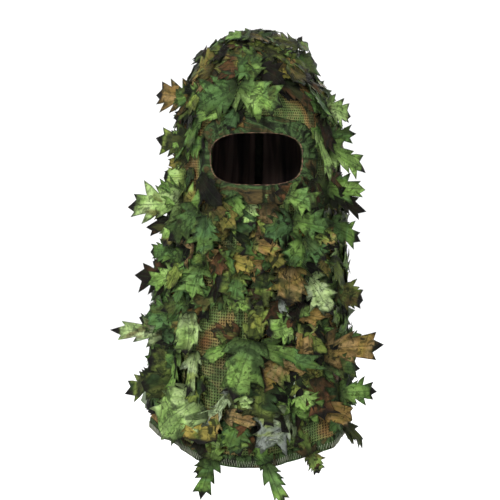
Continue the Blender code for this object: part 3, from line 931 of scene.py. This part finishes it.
# Leaves in front: x and z of the stitch in millimetres, heading, outline, length and span in millimetres,
# tone, rise and curl in degrees, and height off the cloth in millimetres
FRONT_LEAVES = """
crown and forehead
-52 -22 196 holly 26 22 black 26 -20 3
-34 -12 190 claw 20 18 forest 24 -20 3
36 -16 20 claw 22 18 black 24 -20 3
48 -30 34 holly 22 18 forest 24 -16 3
-38 -22 205 claw 22 16 forest 18 10 4
-44 -34 140 lance 34 22 brown 8 20 3
-34 -38 100 oak 34 26 brown 10 12 4
-6 -20 190 maple 30 26 green 14 20 6
4 -14 10 maple 40 28 olive 14 14 5
24 -20 32 claw 34 24 forest 18 15 5
36 -32 50 holly 30 22 black 20 25 4
-20 -52 153 maple 44 46 green 10 14 5
-20 -52 24 maple 52 46 bright 12 10 6
-14 -44 292 holly 26 26 green 14 10 6
-30 -76 172 lance 38 20 bright 12 10 4
-10 -68 75 holly 17 15 bright 16 12 4
-24 -72 100 oak 24 26 black 8 8 3
-22 -74 115 oak 22 18 forest 10 12 3
14 -34 25 holly 18 14 yellow 16 12 6
16 -33 62 beech 36 30 black 8 10 3
20 -44 52 lance 46 18 bark 8 14 3
42 -36 62 lance 42 20 brown 10 16 4
52 -46 70 oak 34 22 olive 12 16 4
57 -60 118 maple 30 26 teal 18 14 5
64 -66 60 claw 30 22 lime 18 22 5
-62 -58 200 claw 20 16 black 24 20 5
-56 -50 120 lance 34 20 olive 10 16 3
-62 -82 100 lance 36 22 green 10 16 4
-66 -70 150 holly 26 20 forest 20 20 4
beside the opening
-72 -98 112 lance 36 20 green 14 18 4
-72 -122 150 holly 24 20 olive 24 25 5
-74 -146 172 beech 24 24 light 30 25 5
-70 -136 95 lance 34 20 forest 10 12 3
61 -80 80 oak 40 22 bark 10 10 3
58 -94 84 lance 52 17 light 10 8 4
70 -104 350 claw 30 22 green 30 20 5
66 -120 75 oak 32 20 forest 12 12 3
68 -156 8 fan 38 28 green 30 45 5
66 -138 40 holly 30 22 bark 22 20 4
below the opening
-60 -146 36 beech 44 22 black 4 4 5
-52 -168 38 oak 34 24 olive 8 10 3
44 -158 172 oak 34 20 rust 4 4 3
55 -148 92 lance 40 20 bark 10 8 4
26 -163 22 maple 30 30 bright 18 16 6
-28 -166 60 holly 26 22 green 14 16 4
-10 -174 82 holly 20 16 light 16 20 6
-10 -194 12 holly 18 14 lime 18 18 6
6 -172 84 oak 38 26 brown 12 14 5
32 -190 155 maple 32 34 teal 18 18 7
32 -190 12 maple 34 30 green 20 22 7
-60 -180 120 maple 42 36 green 20 22 7
-52 -186 72 maple 40 32 teal 20 18 8
-74 -186 102 beech 36 30 bright 22 20 6
-46 -170 42 oak 38 28 olive 12 14 5
-34 -184 22 beech 32 26 forest 12 14 5
-78 -192 158 claw 38 26 bark 34 18 6
50 -176 60 oak 34 26 forest 14 16 5
70 -196 30 maple 38 28 green 28 18 7
the veil's upper half
-84 -226 176 holly 28 22 green 34 22 6
-80 -236 88 beech 28 20 lime 16 16 7
-86 -248 152 maple 30 26 bright 26 22 7
-78 -254 82 holly 24 18 teal 16 16 6
-60 -240 92 maple 32 28 bright 18 20 7
-70 -214 102 fan 28 26 black 12 14 4
-46 -220 62 oak 28 22 rust 12 16 4
-38 -236 90 lance 38 20 bark 10 10 3
-28 -230 22 holly 24 18 yellow 18 20 6
-20 -246 86 maple 28 22 green 18 20 6
-8 -214 8 oak 28 20 ochre 18 20 6
8 -224 42 holly 20 16 yellow 20 22 6
42 -208 128 maple 32 28 green 20 20 7
42 -208 48 maple 32 26 teal 20 22 7
50 -200 28 holly 26 20 ochre 20 20 8
60 -212 20 claw 24 18 black 20 16 6
30 -238 96 fan 38 40 ochre 16 16 7
4 -244 96 maple 36 28 forest 14 16 5
48 -250 62 maple 44 30 pale 18 16 7
40 -258 72 beech 26 22 black 10 10 4
26 -268 82 fan 28 34 grey 12 16 4
76 -230 96 lance 36 22 forest 20 20 5
the veil's middle
-38 -268 162 maple 32 28 green 14 18 5
-38 -268 18 maple 34 28 forest 14 16 5
-74 -276 150 maple 30 24 green 22 20 6
-72 -288 80 beech 42 26 light 16 18 7
-90 -296 178 fan 28 34 teal 30 20 6
-86 -314 148 claw 28 22 black 26 20 4
-20 -312 190 maple 26 24 rust 14 16 5
-9 -316 104 maple 58 44 bright 10 16 8
-26 -318 145 lance 34 18 bright 14 14 6
-2 -320 24 lance 70 22 green 10 12 7
-8 -316 278 lance 40 22 forest 10 14 6
2 -272 96 lance 36 22 lime 14 16 5
40 -298 170 maple 36 34 bright 16 16 6
36 -286 20 oak 28 22 ochre 16 20 5
2 -336 20 beech 46 38 tan 6 6 3
8 -352 40 beech 44 36 black 6 6 3
54 -298 85 lance 40 20 black 12 10 5
46 -303 92 oak 34 22 ochre 14 12 5
74 -330 348 maple 34 24 green 30 20 6
66 -346 18 maple 36 28 green 26 22 6
the veil's lower part
-90 -344 168 beech 32 30 forest 26 24 5
-90 -366 152 beech 36 32 forest 30 110 5
-84 -334 92 lance 46 20 green 14 14 6
-66 -330 88 lance 46 20 pale 14 12 6
-60 -358 100 holly 26 20 lime 16 16 5
-58 -380 138 beech 56 54 light 10 12 11
-82 -372 96 lance 44 24 grey 14 12 5
-54 -390 92 beech 34 34 yellow 12 14 9
-28 -370 122 lance 44 18 grey 14 10 5
-32 -386 340 maple 28 22 pale 18 18 6
-35 -400 62 maple 38 32 teal 14 16 5
-20 -398 104 maple 32 28 green 14 16 5
-34 -396 8 lance 34 18 tan 14 14 9
2 -362 92 maple 46 34 forest 14 16 5
2 -366 134 maple 32 28 forest 16 18 5
32 -388 20 maple 36 32 green 18 18 6
40 -370 60 maple 28 26 bright 18 20 6
58 -360 85 oak 42 32 rust 16 18 5
52 -356 150 lance 36 16 lime 16 14 6
62 -388 42 oak 34 28 ochre 20 20 5
34 -400 156 maple 46 42 grey 12 12 8
0 -398 80 beech 30 26 black 8 8 3
-22 -424 176 lance 32 18 bright 12 10 5
-54 -412 100 oak 26 24 bark 10 12 3
18 -424 10 oak 28 18 bark 10 12 3
"""
# How many millimetres of length or span above make a metre of cut cloth, which looks shorter as it bends
CUT_MILLIMETRES = 920
# A leaf in front that rises less than this stays close to the cloth
CLOSE_RISE = 22

# Where the net in front stays bare of filling leaves: from x to x and from z to z, in millimetres
BARE = ((-62, -22, -412, -296), (-62, 50, -96, -46), (-36, 24, -176, -160))
BARE_MARGIN = 9
FILL_TONES = ("forest", "forest", "black", "bark", "bark", "brown", "black", "olive", "green", "green",
              "rust", "ochre")
TOP_TONES = ("bright", "green", "teal", "light", "green", "lime", "bright")
FILL_OUTLINES = ("maple", "maple", "oak", "holly", "fan", "beech", "claw", "lance")
FILL_COLUMNS = 26
# Filling leaves keep this far from the face opening and from the hem
FILL_OPENING_GAP, FILL_HEM_GAP = 0.036, 0.024
CROWN_LEAVES = 7
# Length and span
FILL_SIZE, CROWN_SIZE = (0.038, 0.034), (0.030, 0.026)
# A leaf in front has its own seed, from its number
FILL_SEED, CROWN_SEED, WING_SEED, FRONT_SEED, FRONT_SEED_STEP = 20, 31, 11, 5, 17

# The leaves that flap: outline and tone of the wing, tone of the half that stays on the cloth, how much of
# the hinged piece's length the wing fills, and how far its tip bends, in degrees
WING_LEAVES = """
temple_right maple ochre green 1.0 -14
ear_right claw forest green 1.0 -20
cheek_right maple light bright 1.0 -10
crown_top maple green forest 0.9 -50
crown_left claw black olive 0.65 -85
temple_left maple light green 0.9 -24
ear_left maple bright green 1.0 -14
cheek_left claw black forest 1.0 -16
crown_back maple bright forest 1.0 -42
back_right maple green olive 1.0 -24
back_left fan ochre brown 1.0 -24
back_centre maple light green 1.0 -24
drape_neck_right claw bark green 1.0 -12
drape_side_right_upper lance pale teal 1.0 -10
drape_side_right_lower claw forest forest 1.0 -24
drape_neck_left holly olive green 1.0 -10
drape_side_left_upper maple ochre black 1.0 -10
drape_side_left_middle maple green forest 0.9 -14
drape_side_left_lower lance forest olive 0.75 -30
drape_hem_right claw green forest 1.0 -10
drape_hem_centre lance bright green 1.0 -16
drape_hem_left holly olive brown 0.6 -20
drape_nape_right maple bright forest 1.0 -20
drape_nape_left oak brown olive 1.0 -20
drape_back_right maple green teal 1.0 -26
drape_back_left maple light bright 1.0 -22
"""
# How long the half that stays on the cloth is
LAID_LENGTH = 0.034


def table_rows(table, columns):
    """The words of each line of a table. Lines that haven't this many are headings."""
    rows = [line.split() for line in table.splitlines()]
    return [row for row in rows if len(row) == columns]


def half_width(share):
    """Half the width of a wing, as a share of its span, from its stitch (0) to its tip (1)."""
    return (share + 0.12) ** 0.55 * max(0.0, 1 - share) ** 0.65


def cut_outline(family, chance):
    """Corners of a wing: saw teeth that point towards the tip on both sides."""
    fewest, most, cut, root = FAMILIES[family]
    sides = []
    for _ in range(2):
        teeth = chance.randint(fewest, most)
        side = [(0.0, root)]
        for k in range(teeth):
            at = (k + 0.72 + chance.uniform(-0.14, 0.14)) / (teeth + 0.55)
            width = half_width(at) * (chance.uniform(1.0, 1.28) if k % 2 == 0 else chance.uniform(0.78, 1.0))
            valley = half_width(at) * (1 - cut) * chance.uniform(0.85, 1.1)
            side.append((at - 0.30 / teeth, 0.55 * width + 0.45 * side[-1][1]))
            side.append((at + 0.07, width))
            side.append((at + 0.018, valley))
        sides.append(side)
    tip = (1.0, chance.uniform(-0.05, 0.05))
    return np.array([*sides[0], tip, *[(a, -b) for a, b in reversed(sides[1])]])


def cut_leaf(family, chance):
    """(points, rim, triangles) of an outline filled with small triangles, as shares of length and span."""
    corners = cut_outline(family, chance)
    edge = []
    for a, b in zip(corners, corners[1:]):
        steps = max(1, math.ceil(np.linalg.norm(b - a) / (CELL * 1.3)))
        edge += [a + (b - a) * k / steps for k in range(steps)]
    edge += [corners[-1] + (corners[0] - corners[-1]) * k / ROOT_STEPS for k in range(ROOT_STEPS)]
    edge = np.array(edge)
    inner = [(CELL * (i + 0.5 * (j % 2)), CELL * 0.87 * j) for j in range(-9, 10) for i in range(1, 13)]
    inner = [p for p in inner if np.min(np.linalg.norm(edge - p, axis=1)) > CELL * 0.55]
    points = [Vector(p) for p in (*edge, *inner)]
    sides = [(k, (k + 1) % len(edge)) for k in range(len(edge))]
    verts, _, faces, *_ = delaunay_2d_cdt(points, sides, [], 1, 1e-6)
    rim = np.zeros(len(verts))
    rim[1:len(edge) - ROOT_STEPS] = 1.0
    return np.array([tuple(v) for v in verts]), rim, np.array(faces)


@dataclass
class Blade:
    """One wing of a cut leaf: from its stitch line to its tip.

    rise is the angle at which it leaves the cloth, and curl how much further it has turned at its tip.
    cling 1 follows the cloth's curve, and 0 stands on its tangent plane. height is how far its stitch
    line is off the cloth, and skew how slanted the line is that it bends about."""

    outline: str
    length: float
    span: float
    tone: str
    rise: float
    curl: float
    cling: float
    height: float
    skew: float = 0.0
    dark_tip: bool = False

    def shape(self, chance):
        """(out, across, up, uv, tip, rim) of each point of the bent leaf, and its faces."""
        share, rim, faces = cut_leaf(self.outline, chance)
        a, b = share[:, 0] * self.length, share[:, 1] * self.span
        slant = math.radians(self.skew)
        forward = a * math.cos(slant) + b * math.sin(slant)
        level = b * math.cos(slant) - a * math.sin(slant)
        rise = math.radians(self.rise)
        turn = math.radians(self.curl) / self.length
        # The radius of the bend is one over this, and a flat leaf bends at 2 m
        turn = turn if abs(turn) > 0.5 else 0.5
        past = np.maximum(forward, 0.0)
        out = (np.sin(rise + turn * past) - math.sin(rise)) / turn + np.minimum(forward, 0.0)
        up = (math.cos(rise) - np.cos(rise + turn * past)) / turn
        # A crease along the middle, and a slow wave, as creased polyester keeps
        crease = chance.uniform(0.04, 0.26) * np.abs(b) * np.clip(a / self.length * 3, 0, 1)
        phase = a * chance.uniform(90, 160) + b * chance.uniform(-120, 120) + chance.uniform(0, 6)
        up = up + crease + WAVE * np.sin(phase) * np.clip(a / self.length * 2, 0, 1)
        x = out * math.cos(slant) - level * math.sin(slant)
        y = out * math.sin(slant) + level * math.cos(slant)
        return x, y, up, np.stack((a, b), -1), share[:, 0], rim, faces


class Pile:
    """Blades gathered into one piece."""

    def __init__(self):
        self.parts = []
        self.stitches = []
        self.count = 0
        self.area = 0.0

    def add(self, origin, out, across, normal, blade, chance):
        """Adds a blade that leaves its stitch line at origin in the direction out."""
        x, y, up, uv, tip, rim, faces = blade.shape(chance)
        ground = origin + np.outer(x, out) + np.outer(y, across)
        free = ground + np.outer(up + blade.height, normal)
        if blade.cling > 0:
            laid = lay(ground, up + blade.height)
            cling = blade.cling * (1 - ramp(up, LEAVES_CLOTH, IS_FREE))[:, None]
            free = free + (laid - free) * cling
            self.sew(origin + out * 0.0012, across, blade)
        seed = chance.random()
        if blade.dark_tip:
            # One of the seeds whose tips are printed dark
            seed = (math.floor(seed * 7) + 0.75) / TIP_TURNS
        leaf = np.stack((np.full(len(x), tone_value(blade.tone)), np.full(len(x), seed), tip), -1)
        corner = uv[faces]
        edge_a, edge_b = corner[:, 1] - corner[:, 0], corner[:, 2] - corner[:, 0]
        self.area += float(np.abs(edge_a[:, 0] * edge_b[:, 1] - edge_a[:, 1] * edge_b[:, 0]).sum() / 2)
        self.parts.append((free, faces + self.count, uv, leaf, rim))
        self.count += len(free)

    def sew(self, root, across, blade):
        """Dark stitches along the leaf's stitch line."""
        half = blade.span * FAMILIES[blade.outline][3] * 1.05
        for start in np.arange(-half, half - STITCH * 0.5, STITCH * 1.45):
            ends = lay([root + across * start, root + across * (start + STITCH)], blade.height + 0.0007)
            self.stitches.append(ends)

    def piece(self, name, node, slot):
        points, faces, uv, leaf, rim = (np.concatenate(part) for part in zip(*self.parts))
        made = mesh_piece(name, points, faces, [LEAF, REVERSE, DARK_THREAD], uv, leaf, rim)
        thicken(made, LEAF_THICKNESS, reverse=1, edge=2)
        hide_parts(node)
        return made


def on_cloth(pile, angle, reach, heading, blade, chance):
    """Adds a blade at this place. heading 0 is towards the wearer's left, 90 down and 180 to the right."""
    point, around, down, normal = cloth_frame(angle, reach)
    turn = math.radians(heading)
    out = around * math.cos(turn) + down * math.sin(turn)
    out = unit(out - normal * out.dot(normal))
    pile.add(point, out, np.cross(normal, out), normal, blade, chance)


def strip_piles():
    """An empty pile for each strip of leaves, with the angle of the strip's middle."""
    piles = {}
    for node in frame["nodes"]:
        if node.startswith("leaf_strip_"):
            low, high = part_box(node)
            middle = 0.5 * (np.array(low) + np.array(high))
            angle = math.degrees(math.atan2(middle[1], middle[0] - (-LEAN if "drape" in node else 0)))
            piles[node] = (angle, Pile())
    return piles


def pile_for(piles, angle, on_drape):
    """The pile of the strip nearest to this angle, on the drape or on the hood."""
    fitting = [(abs((angle - at + 180) % 360 - 180), node) for node, (at, _) in piles.items()
               if ("drape" in node) == on_drape]
    return piles[min(fitting)[1]][1]


def left_free(angle, reach):
    """Whether filling leaves leave this place free: at the opening, and where the net shows."""
    x, y, z = cloth_point(angle, reach) * 1000
    margin = BARE_MARGIN
    bare = y < 0 and any(
        a - margin < x < b + margin and low - margin < z < high + margin for a, b, low, high in BARE)
    return bare or in_opening(cloth_point(angle, reach), FILL_OPENING_GAP)


def filling_leaves(piles):
    """Leaves sewn in upright rows all round, two wings to a stitch, thinner and flatter in front."""
    chance = Random(FILL_SEED)
    for column in range(FILL_COLUMNS):
        angle = -180 + 360 / FILL_COLUMNS * (column + 0.5)
        odd = column % 2
        reach = 0.030 + 0.02 * chance.random() + (0.012 if odd else 0)
        while reach < HEM_REACH - FILL_HEM_GAP:
            here = angle + chance.uniform(-4, 4)
            step = chance.uniform(0.026, 0.036)
            crowded = reach < 0.07 and odd
            if not (crowded or left_free(here, reach)):
                filling_pair(pile_for(piles, here, reach > YOKE_REACH), here, reach, chance)
            reach += step


def filling_pair(pile, angle, reach, chance):
    """Two wings of a filling leaf. They stand off more at the back, and a little in front."""
    front = -150 < angle < -30
    free = 0.0 if front else float(ramp(math.sin(math.radians(angle)), 0.25, 0.65) * ramp(reach, 0.05, 0.11))
    loose = 1.0 if front and reach > 0.07 else 0.0
    size = chance.uniform(0.8, 1.15) * (0.72 + 0.28 * float(ramp(reach, 0.02, 0.09)))
    tones = FILL_TONES if front or reach < 0.09 else FILL_TONES + TOP_TONES
    tone = chance.choice(tones)
    low = float(ramp(reach, HEM_REACH - 0.06, HEM_REACH - 0.03))
    for side in (0, 180):
        if front and chance.random() < 0.3:
            continue
        blade = Blade(
            chance.choice(FILL_OUTLINES), FILL_SIZE[0] * size, FILL_SIZE[1] * size,
            tone if chance.random() < 0.6 else chance.choice(tones),
            rise=chance.uniform(2, 7) + free * chance.uniform(1, 8) + loose * chance.uniform(0, 5),
            curl=chance.uniform(-4, 9) + free * chance.uniform(-14, 14) + loose * chance.uniform(-10, 14),
            cling=0.95 - free * chance.uniform(0.0, 0.55) - loose * chance.uniform(0.0, 0.2),
            height=chance.uniform(0.001, 0.0022) + (free + loose * 0.3) * chance.uniform(0.0, 0.003),
            skew=chance.uniform(-25, 25),
        )
        droop = chance.uniform(-38, 38) + 18 - low * 30
        on_cloth(pile, angle, reach, droop if side == 0 else 180 - droop, blade, chance)


def crown_leaves(piles):
    """A ring of small leaves over the end of the crown seam."""
    chance = Random(CROWN_SEED)
    for k in range(CROWN_LEAVES):
        angle = 360 / CROWN_LEAVES * k + chance.uniform(-15, 15)
        reach = chance.uniform(0.010, 0.024)
        blade = Blade(
            chance.choice(FILL_OUTLINES), *CROWN_SIZE, chance.choice(FILL_TONES + ("green", "olive")),
            rise=3, curl=4, cling=0.97, height=chance.uniform(0.001, 0.002), skew=chance.uniform(-20, 20),
        )
        on_cloth(pile_for(piles, angle, False), angle, reach, chance.uniform(-60, 240), blade, chance)


def front_leaves(piles):
    """The leaves of FRONT_LEAVES. Those high on the crown lie closer, unless they rise steeply."""
    rows = table_rows(FRONT_LEAVES, 10)
    for number, (x, z, heading, outline, length, span, tone, *bend) in enumerate(rows):
        x, z, heading, length, span, rise, curl, height = map(float, (x, z, heading, length, span, *bend))
        chance = Random(number * FRONT_SEED_STEP + FRONT_SEED)
        angle, reach = (float(v) for v in seen_place(x / 1000, z / 1000))
        close = rise < CLOSE_RISE
        crown = float(ramp(z, -60, -30)) * close
        bent = 0.7 - 0.5 * crown
        blade = Blade(
            outline, length / CUT_MILLIMETRES, span / CUT_MILLIMETRES, tone, rise * bent, curl * bent,
            cling=0.75 + 0.2 * crown if close else 0.25,
            height=height / 1000 * (1 - 0.4 * crown), skew=chance.uniform(-12, 12),
        )
        on_cloth(pile_for(piles, angle, reach > YOKE_REACH), angle, reach, heading, blade, chance)


def wing_size(node, hinge, axis):
    """(way out from the hinge, length, span) of a hinged CAD leaf."""
    points = np.array([v.co for v in frame["nodes"][node].data.vertices])
    away = points - hinge
    away = away - np.outer(away @ axis, axis)
    out = unit(away[np.argmax(np.linalg.norm(away, axis=1))])
    return out, float((away @ out).max()), float(np.ptp(points @ axis))


def wing_leaves(piles):
    """A leaf on each hinge: one wing flaps with its body, and the other is laid on the cloth."""
    chance = Random(WING_SEED)
    looks = {name: row for name, *row in table_rows(WING_LEAVES, 6)}
    for joint in frame["joints"]:
        name = joint["child"].removeprefix("wing_")
        if name not in looks:
            continue
        outline, tone, laid_tone, *shape = looks[name]
        fill, curl = map(float, shape)
        hinge, axis = np.array(joint["pos_m"]), unit(np.array(joint["axis"]))
        out, length, span = wing_size("leaf_wing_" + name, hinge, axis)
        normal = np.cross(axis, out)
        pile = Pile()
        large = Blade(outline, length * fill * 1.03, span * 1.12, tone, rise=0, curl=curl, cling=0.0,
                      height=0.0, dark_tip=True)
        pile.add(hinge, out, -axis, normal, large, chance)
        small = Blade("holly", length * 0.5, span * 0.8, laid_tone, rise=-2, curl=curl * 0.5, cling=0.0,
                      height=-0.0012)
        way = unit(out + axis * chance.uniform(-0.5, 0.5))
        pile.add(hinge + axis * span * 0.12, way, -axis, normal, small, chance)
        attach(pile.piece("flap_" + name, "leaf_wing_" + name, "leaf_wing"), joint["child"])

        near, normal, _, distance = TREE.find_nearest(Vector(hinge))
        near, normal = np.array(near), np.array(normal)
        back = -unit(out - normal * out.dot(normal))
        # The laid half comes down to the cloth from the hinge, and is level again at its tip
        fall = 2 * math.degrees(math.asin(max(0.0, distance - 0.002) / LAID_LENGTH))
        laid = Blade("maple", LAID_LENGTH, span * 1.1, laid_tone, rise=-fall, curl=fall, cling=0.75,
                     height=distance)
        body = pile_for(piles, math.degrees(math.atan2(near[1], near[0])), joint["parent"] == "drape")
        body.add(near, back, np.cross(normal, back), normal, laid, chance)


def stitch_threads(name, ends):
    """Plump threads between pairs of points on the cloth, as one piece."""
    ends = np.array(ends)
    along = unit(ends[:, 1] - ends[:, 0])
    outward = unit(ends.mean(axis=1) * (1, 1, 0))
    aside = unit(np.cross(along, outward))
    rings = []
    for share, half, rise in STITCH_SECTIONS:
        centre = ends[:, 0] + (ends[:, 1] - ends[:, 0]) * share + outward * rise
        rings.append(np.stack((centre + aside * half, centre + outward * half, centre - aside * half,
                               centre - outward * half), axis=1))
    points = np.stack(rings, axis=1).reshape(-1, 3)
    faces = []
    for first in range(0, len(points), 16):
        for ring in range(first, first + 12, 4):
            for c in range(4):
                n = (c + 1) % 4
                faces.append((ring + c, ring + n, ring + 4 + n, ring + 4 + c))
        faces.append((first + 3, first + 2, first + 1, first))
        faces.append((first + 12, first + 13, first + 14, first + 15))
    made = mesh_piece(name, points, faces, [DARK_THREAD], points[:, [0, 2]])
    return made


def leaves():
    """All the leaves with their stitches."""
    piles = strip_piles()
    filling_leaves(piles)
    crown_leaves(piles)
    front_leaves(piles)
    wing_leaves(piles)
    for node, (_, pile) in piles.items():
        name = node.removeprefix("leaf_strip_")
        body = "drape" if "drape" in node else "hood"
        made = (
            pile.piece("leaves_" + name, node, "leaf_strip"),
            stitch_threads("stitches_" + name, pile.stitches),
        )
        for piece in made:
            hang(piece, body)


# ---------------------------------------------------------------- studio

FLOOR_Z = -0.53
# Name, place, size and watts of the lamps that are aimed at the hood
LAMPS = (
    ("key", (-0.8, -1.9, 0.55), 0.6, 57.0),
    ("fill", (1.6, -1.4, 0.3), 1.4, 3.5),
    ("top", (0.1, 0.2, 1.8), 1.2, 2.0),
    ("back", (0.6, 1.6, 0.9), 1.0, 14.0),
)
LAMP_AIM = (0.0, 0.0, -0.2)
WALL_LAMPS, WALL_LAMP_SIZE, WALL_LAMP_WATTS = 4, 2.0, 38.0


def backdrop():
    """A white floor that curves up all round."""
    look = Look("studio_floor", Base_Color=(0.95, 0.95, 0.95, 1.0), Roughness=0.9)
    bend = 1.5
    profile = [(0.001, FLOOR_Z), (1.0, FLOOR_Z), (2.0, FLOOR_Z)]
    for t in np.linspace(0.0, 1.45, 12):
        profile.append((2.5 + bend * math.sin(t), FLOOR_Z + bend - bend * math.cos(t)))
    profile.append((4.1, 4.5))
    turns = np.linspace(0, 2 * math.pi, 64, endpoint=False)
    points = [(r * math.cos(t), r * math.sin(t), z) for r, z in profile for t in turns]
    faces = [tuple(reversed(f)) for f in grid_faces(len(profile), len(turns))]
    mesh_piece("studio_floor", points, faces, [look.material])


def lamp(name, place, aim, size, watts):
    light = bpy.data.lights.new(name, "AREA")
    light.size = size
    light.energy = watts
    made = bpy.data.objects.new(name, light)
    made.location = place
    made.rotation_euler = (aim - place).to_track_quat("-Z", "Y").to_euler()
    bpy.context.scene.collection.objects.link(made)


def lights():
    """Faint light from everywhere, lamps aimed at the hood, and lamps that whiten the backdrop's walls."""
    world = bpy.data.worlds.new("studio")
    bpy.context.scene.world = world
    world.use_nodes = True
    background = world.node_tree.nodes["Background"]
    background.inputs["Color"].default_value = (1.0, 1.0, 1.0, 1.0)
    background.inputs["Strength"].default_value = 0.05
    for name, place, size, watts in LAMPS:
        lamp(name, Vector(place), Vector(LAMP_AIM), size, watts)
    for k in range(WALL_LAMPS):
        turn = 2 * math.pi / WALL_LAMPS * k
        way = Vector((math.cos(turn), math.sin(turn), 0))
        lamp(f"wall_{k}", way * 0.9 + Vector((0, 0, 2.4)), way * 4.0, WALL_LAMP_SIZE, WALL_LAMP_WATTS)


def camera():
    data = bpy.data.cameras.new("camera")
    data.sensor_width = 36.0
    data.lens = data.sensor_width * CAMERA_DISTANCE / FRAME_HEIGHT
    made = bpy.data.objects.new("camera", data)
    bpy.context.scene.collection.objects.link(made)
    around, up = math.radians(CAMERA_AZIMUTH), math.radians(CAMERA_ELEVATION)
    back = Vector((math.sin(around) * math.cos(up), -math.cos(around) * math.cos(up), math.sin(up)))
    made.location = CAMERA_TARGET + back * CAMERA_DISTANCE
    made.rotation_euler = (-back).to_track_quat("-Z", "Y").to_euler()
    bpy.context.scene.camera = made
    bpy.context.scene.view_settings.view_transform = "Standard"


backdrop()
lights()
camera()
shell()
opening_trim()
seams()
hem_tape()
hem_zigzag()
leaves()
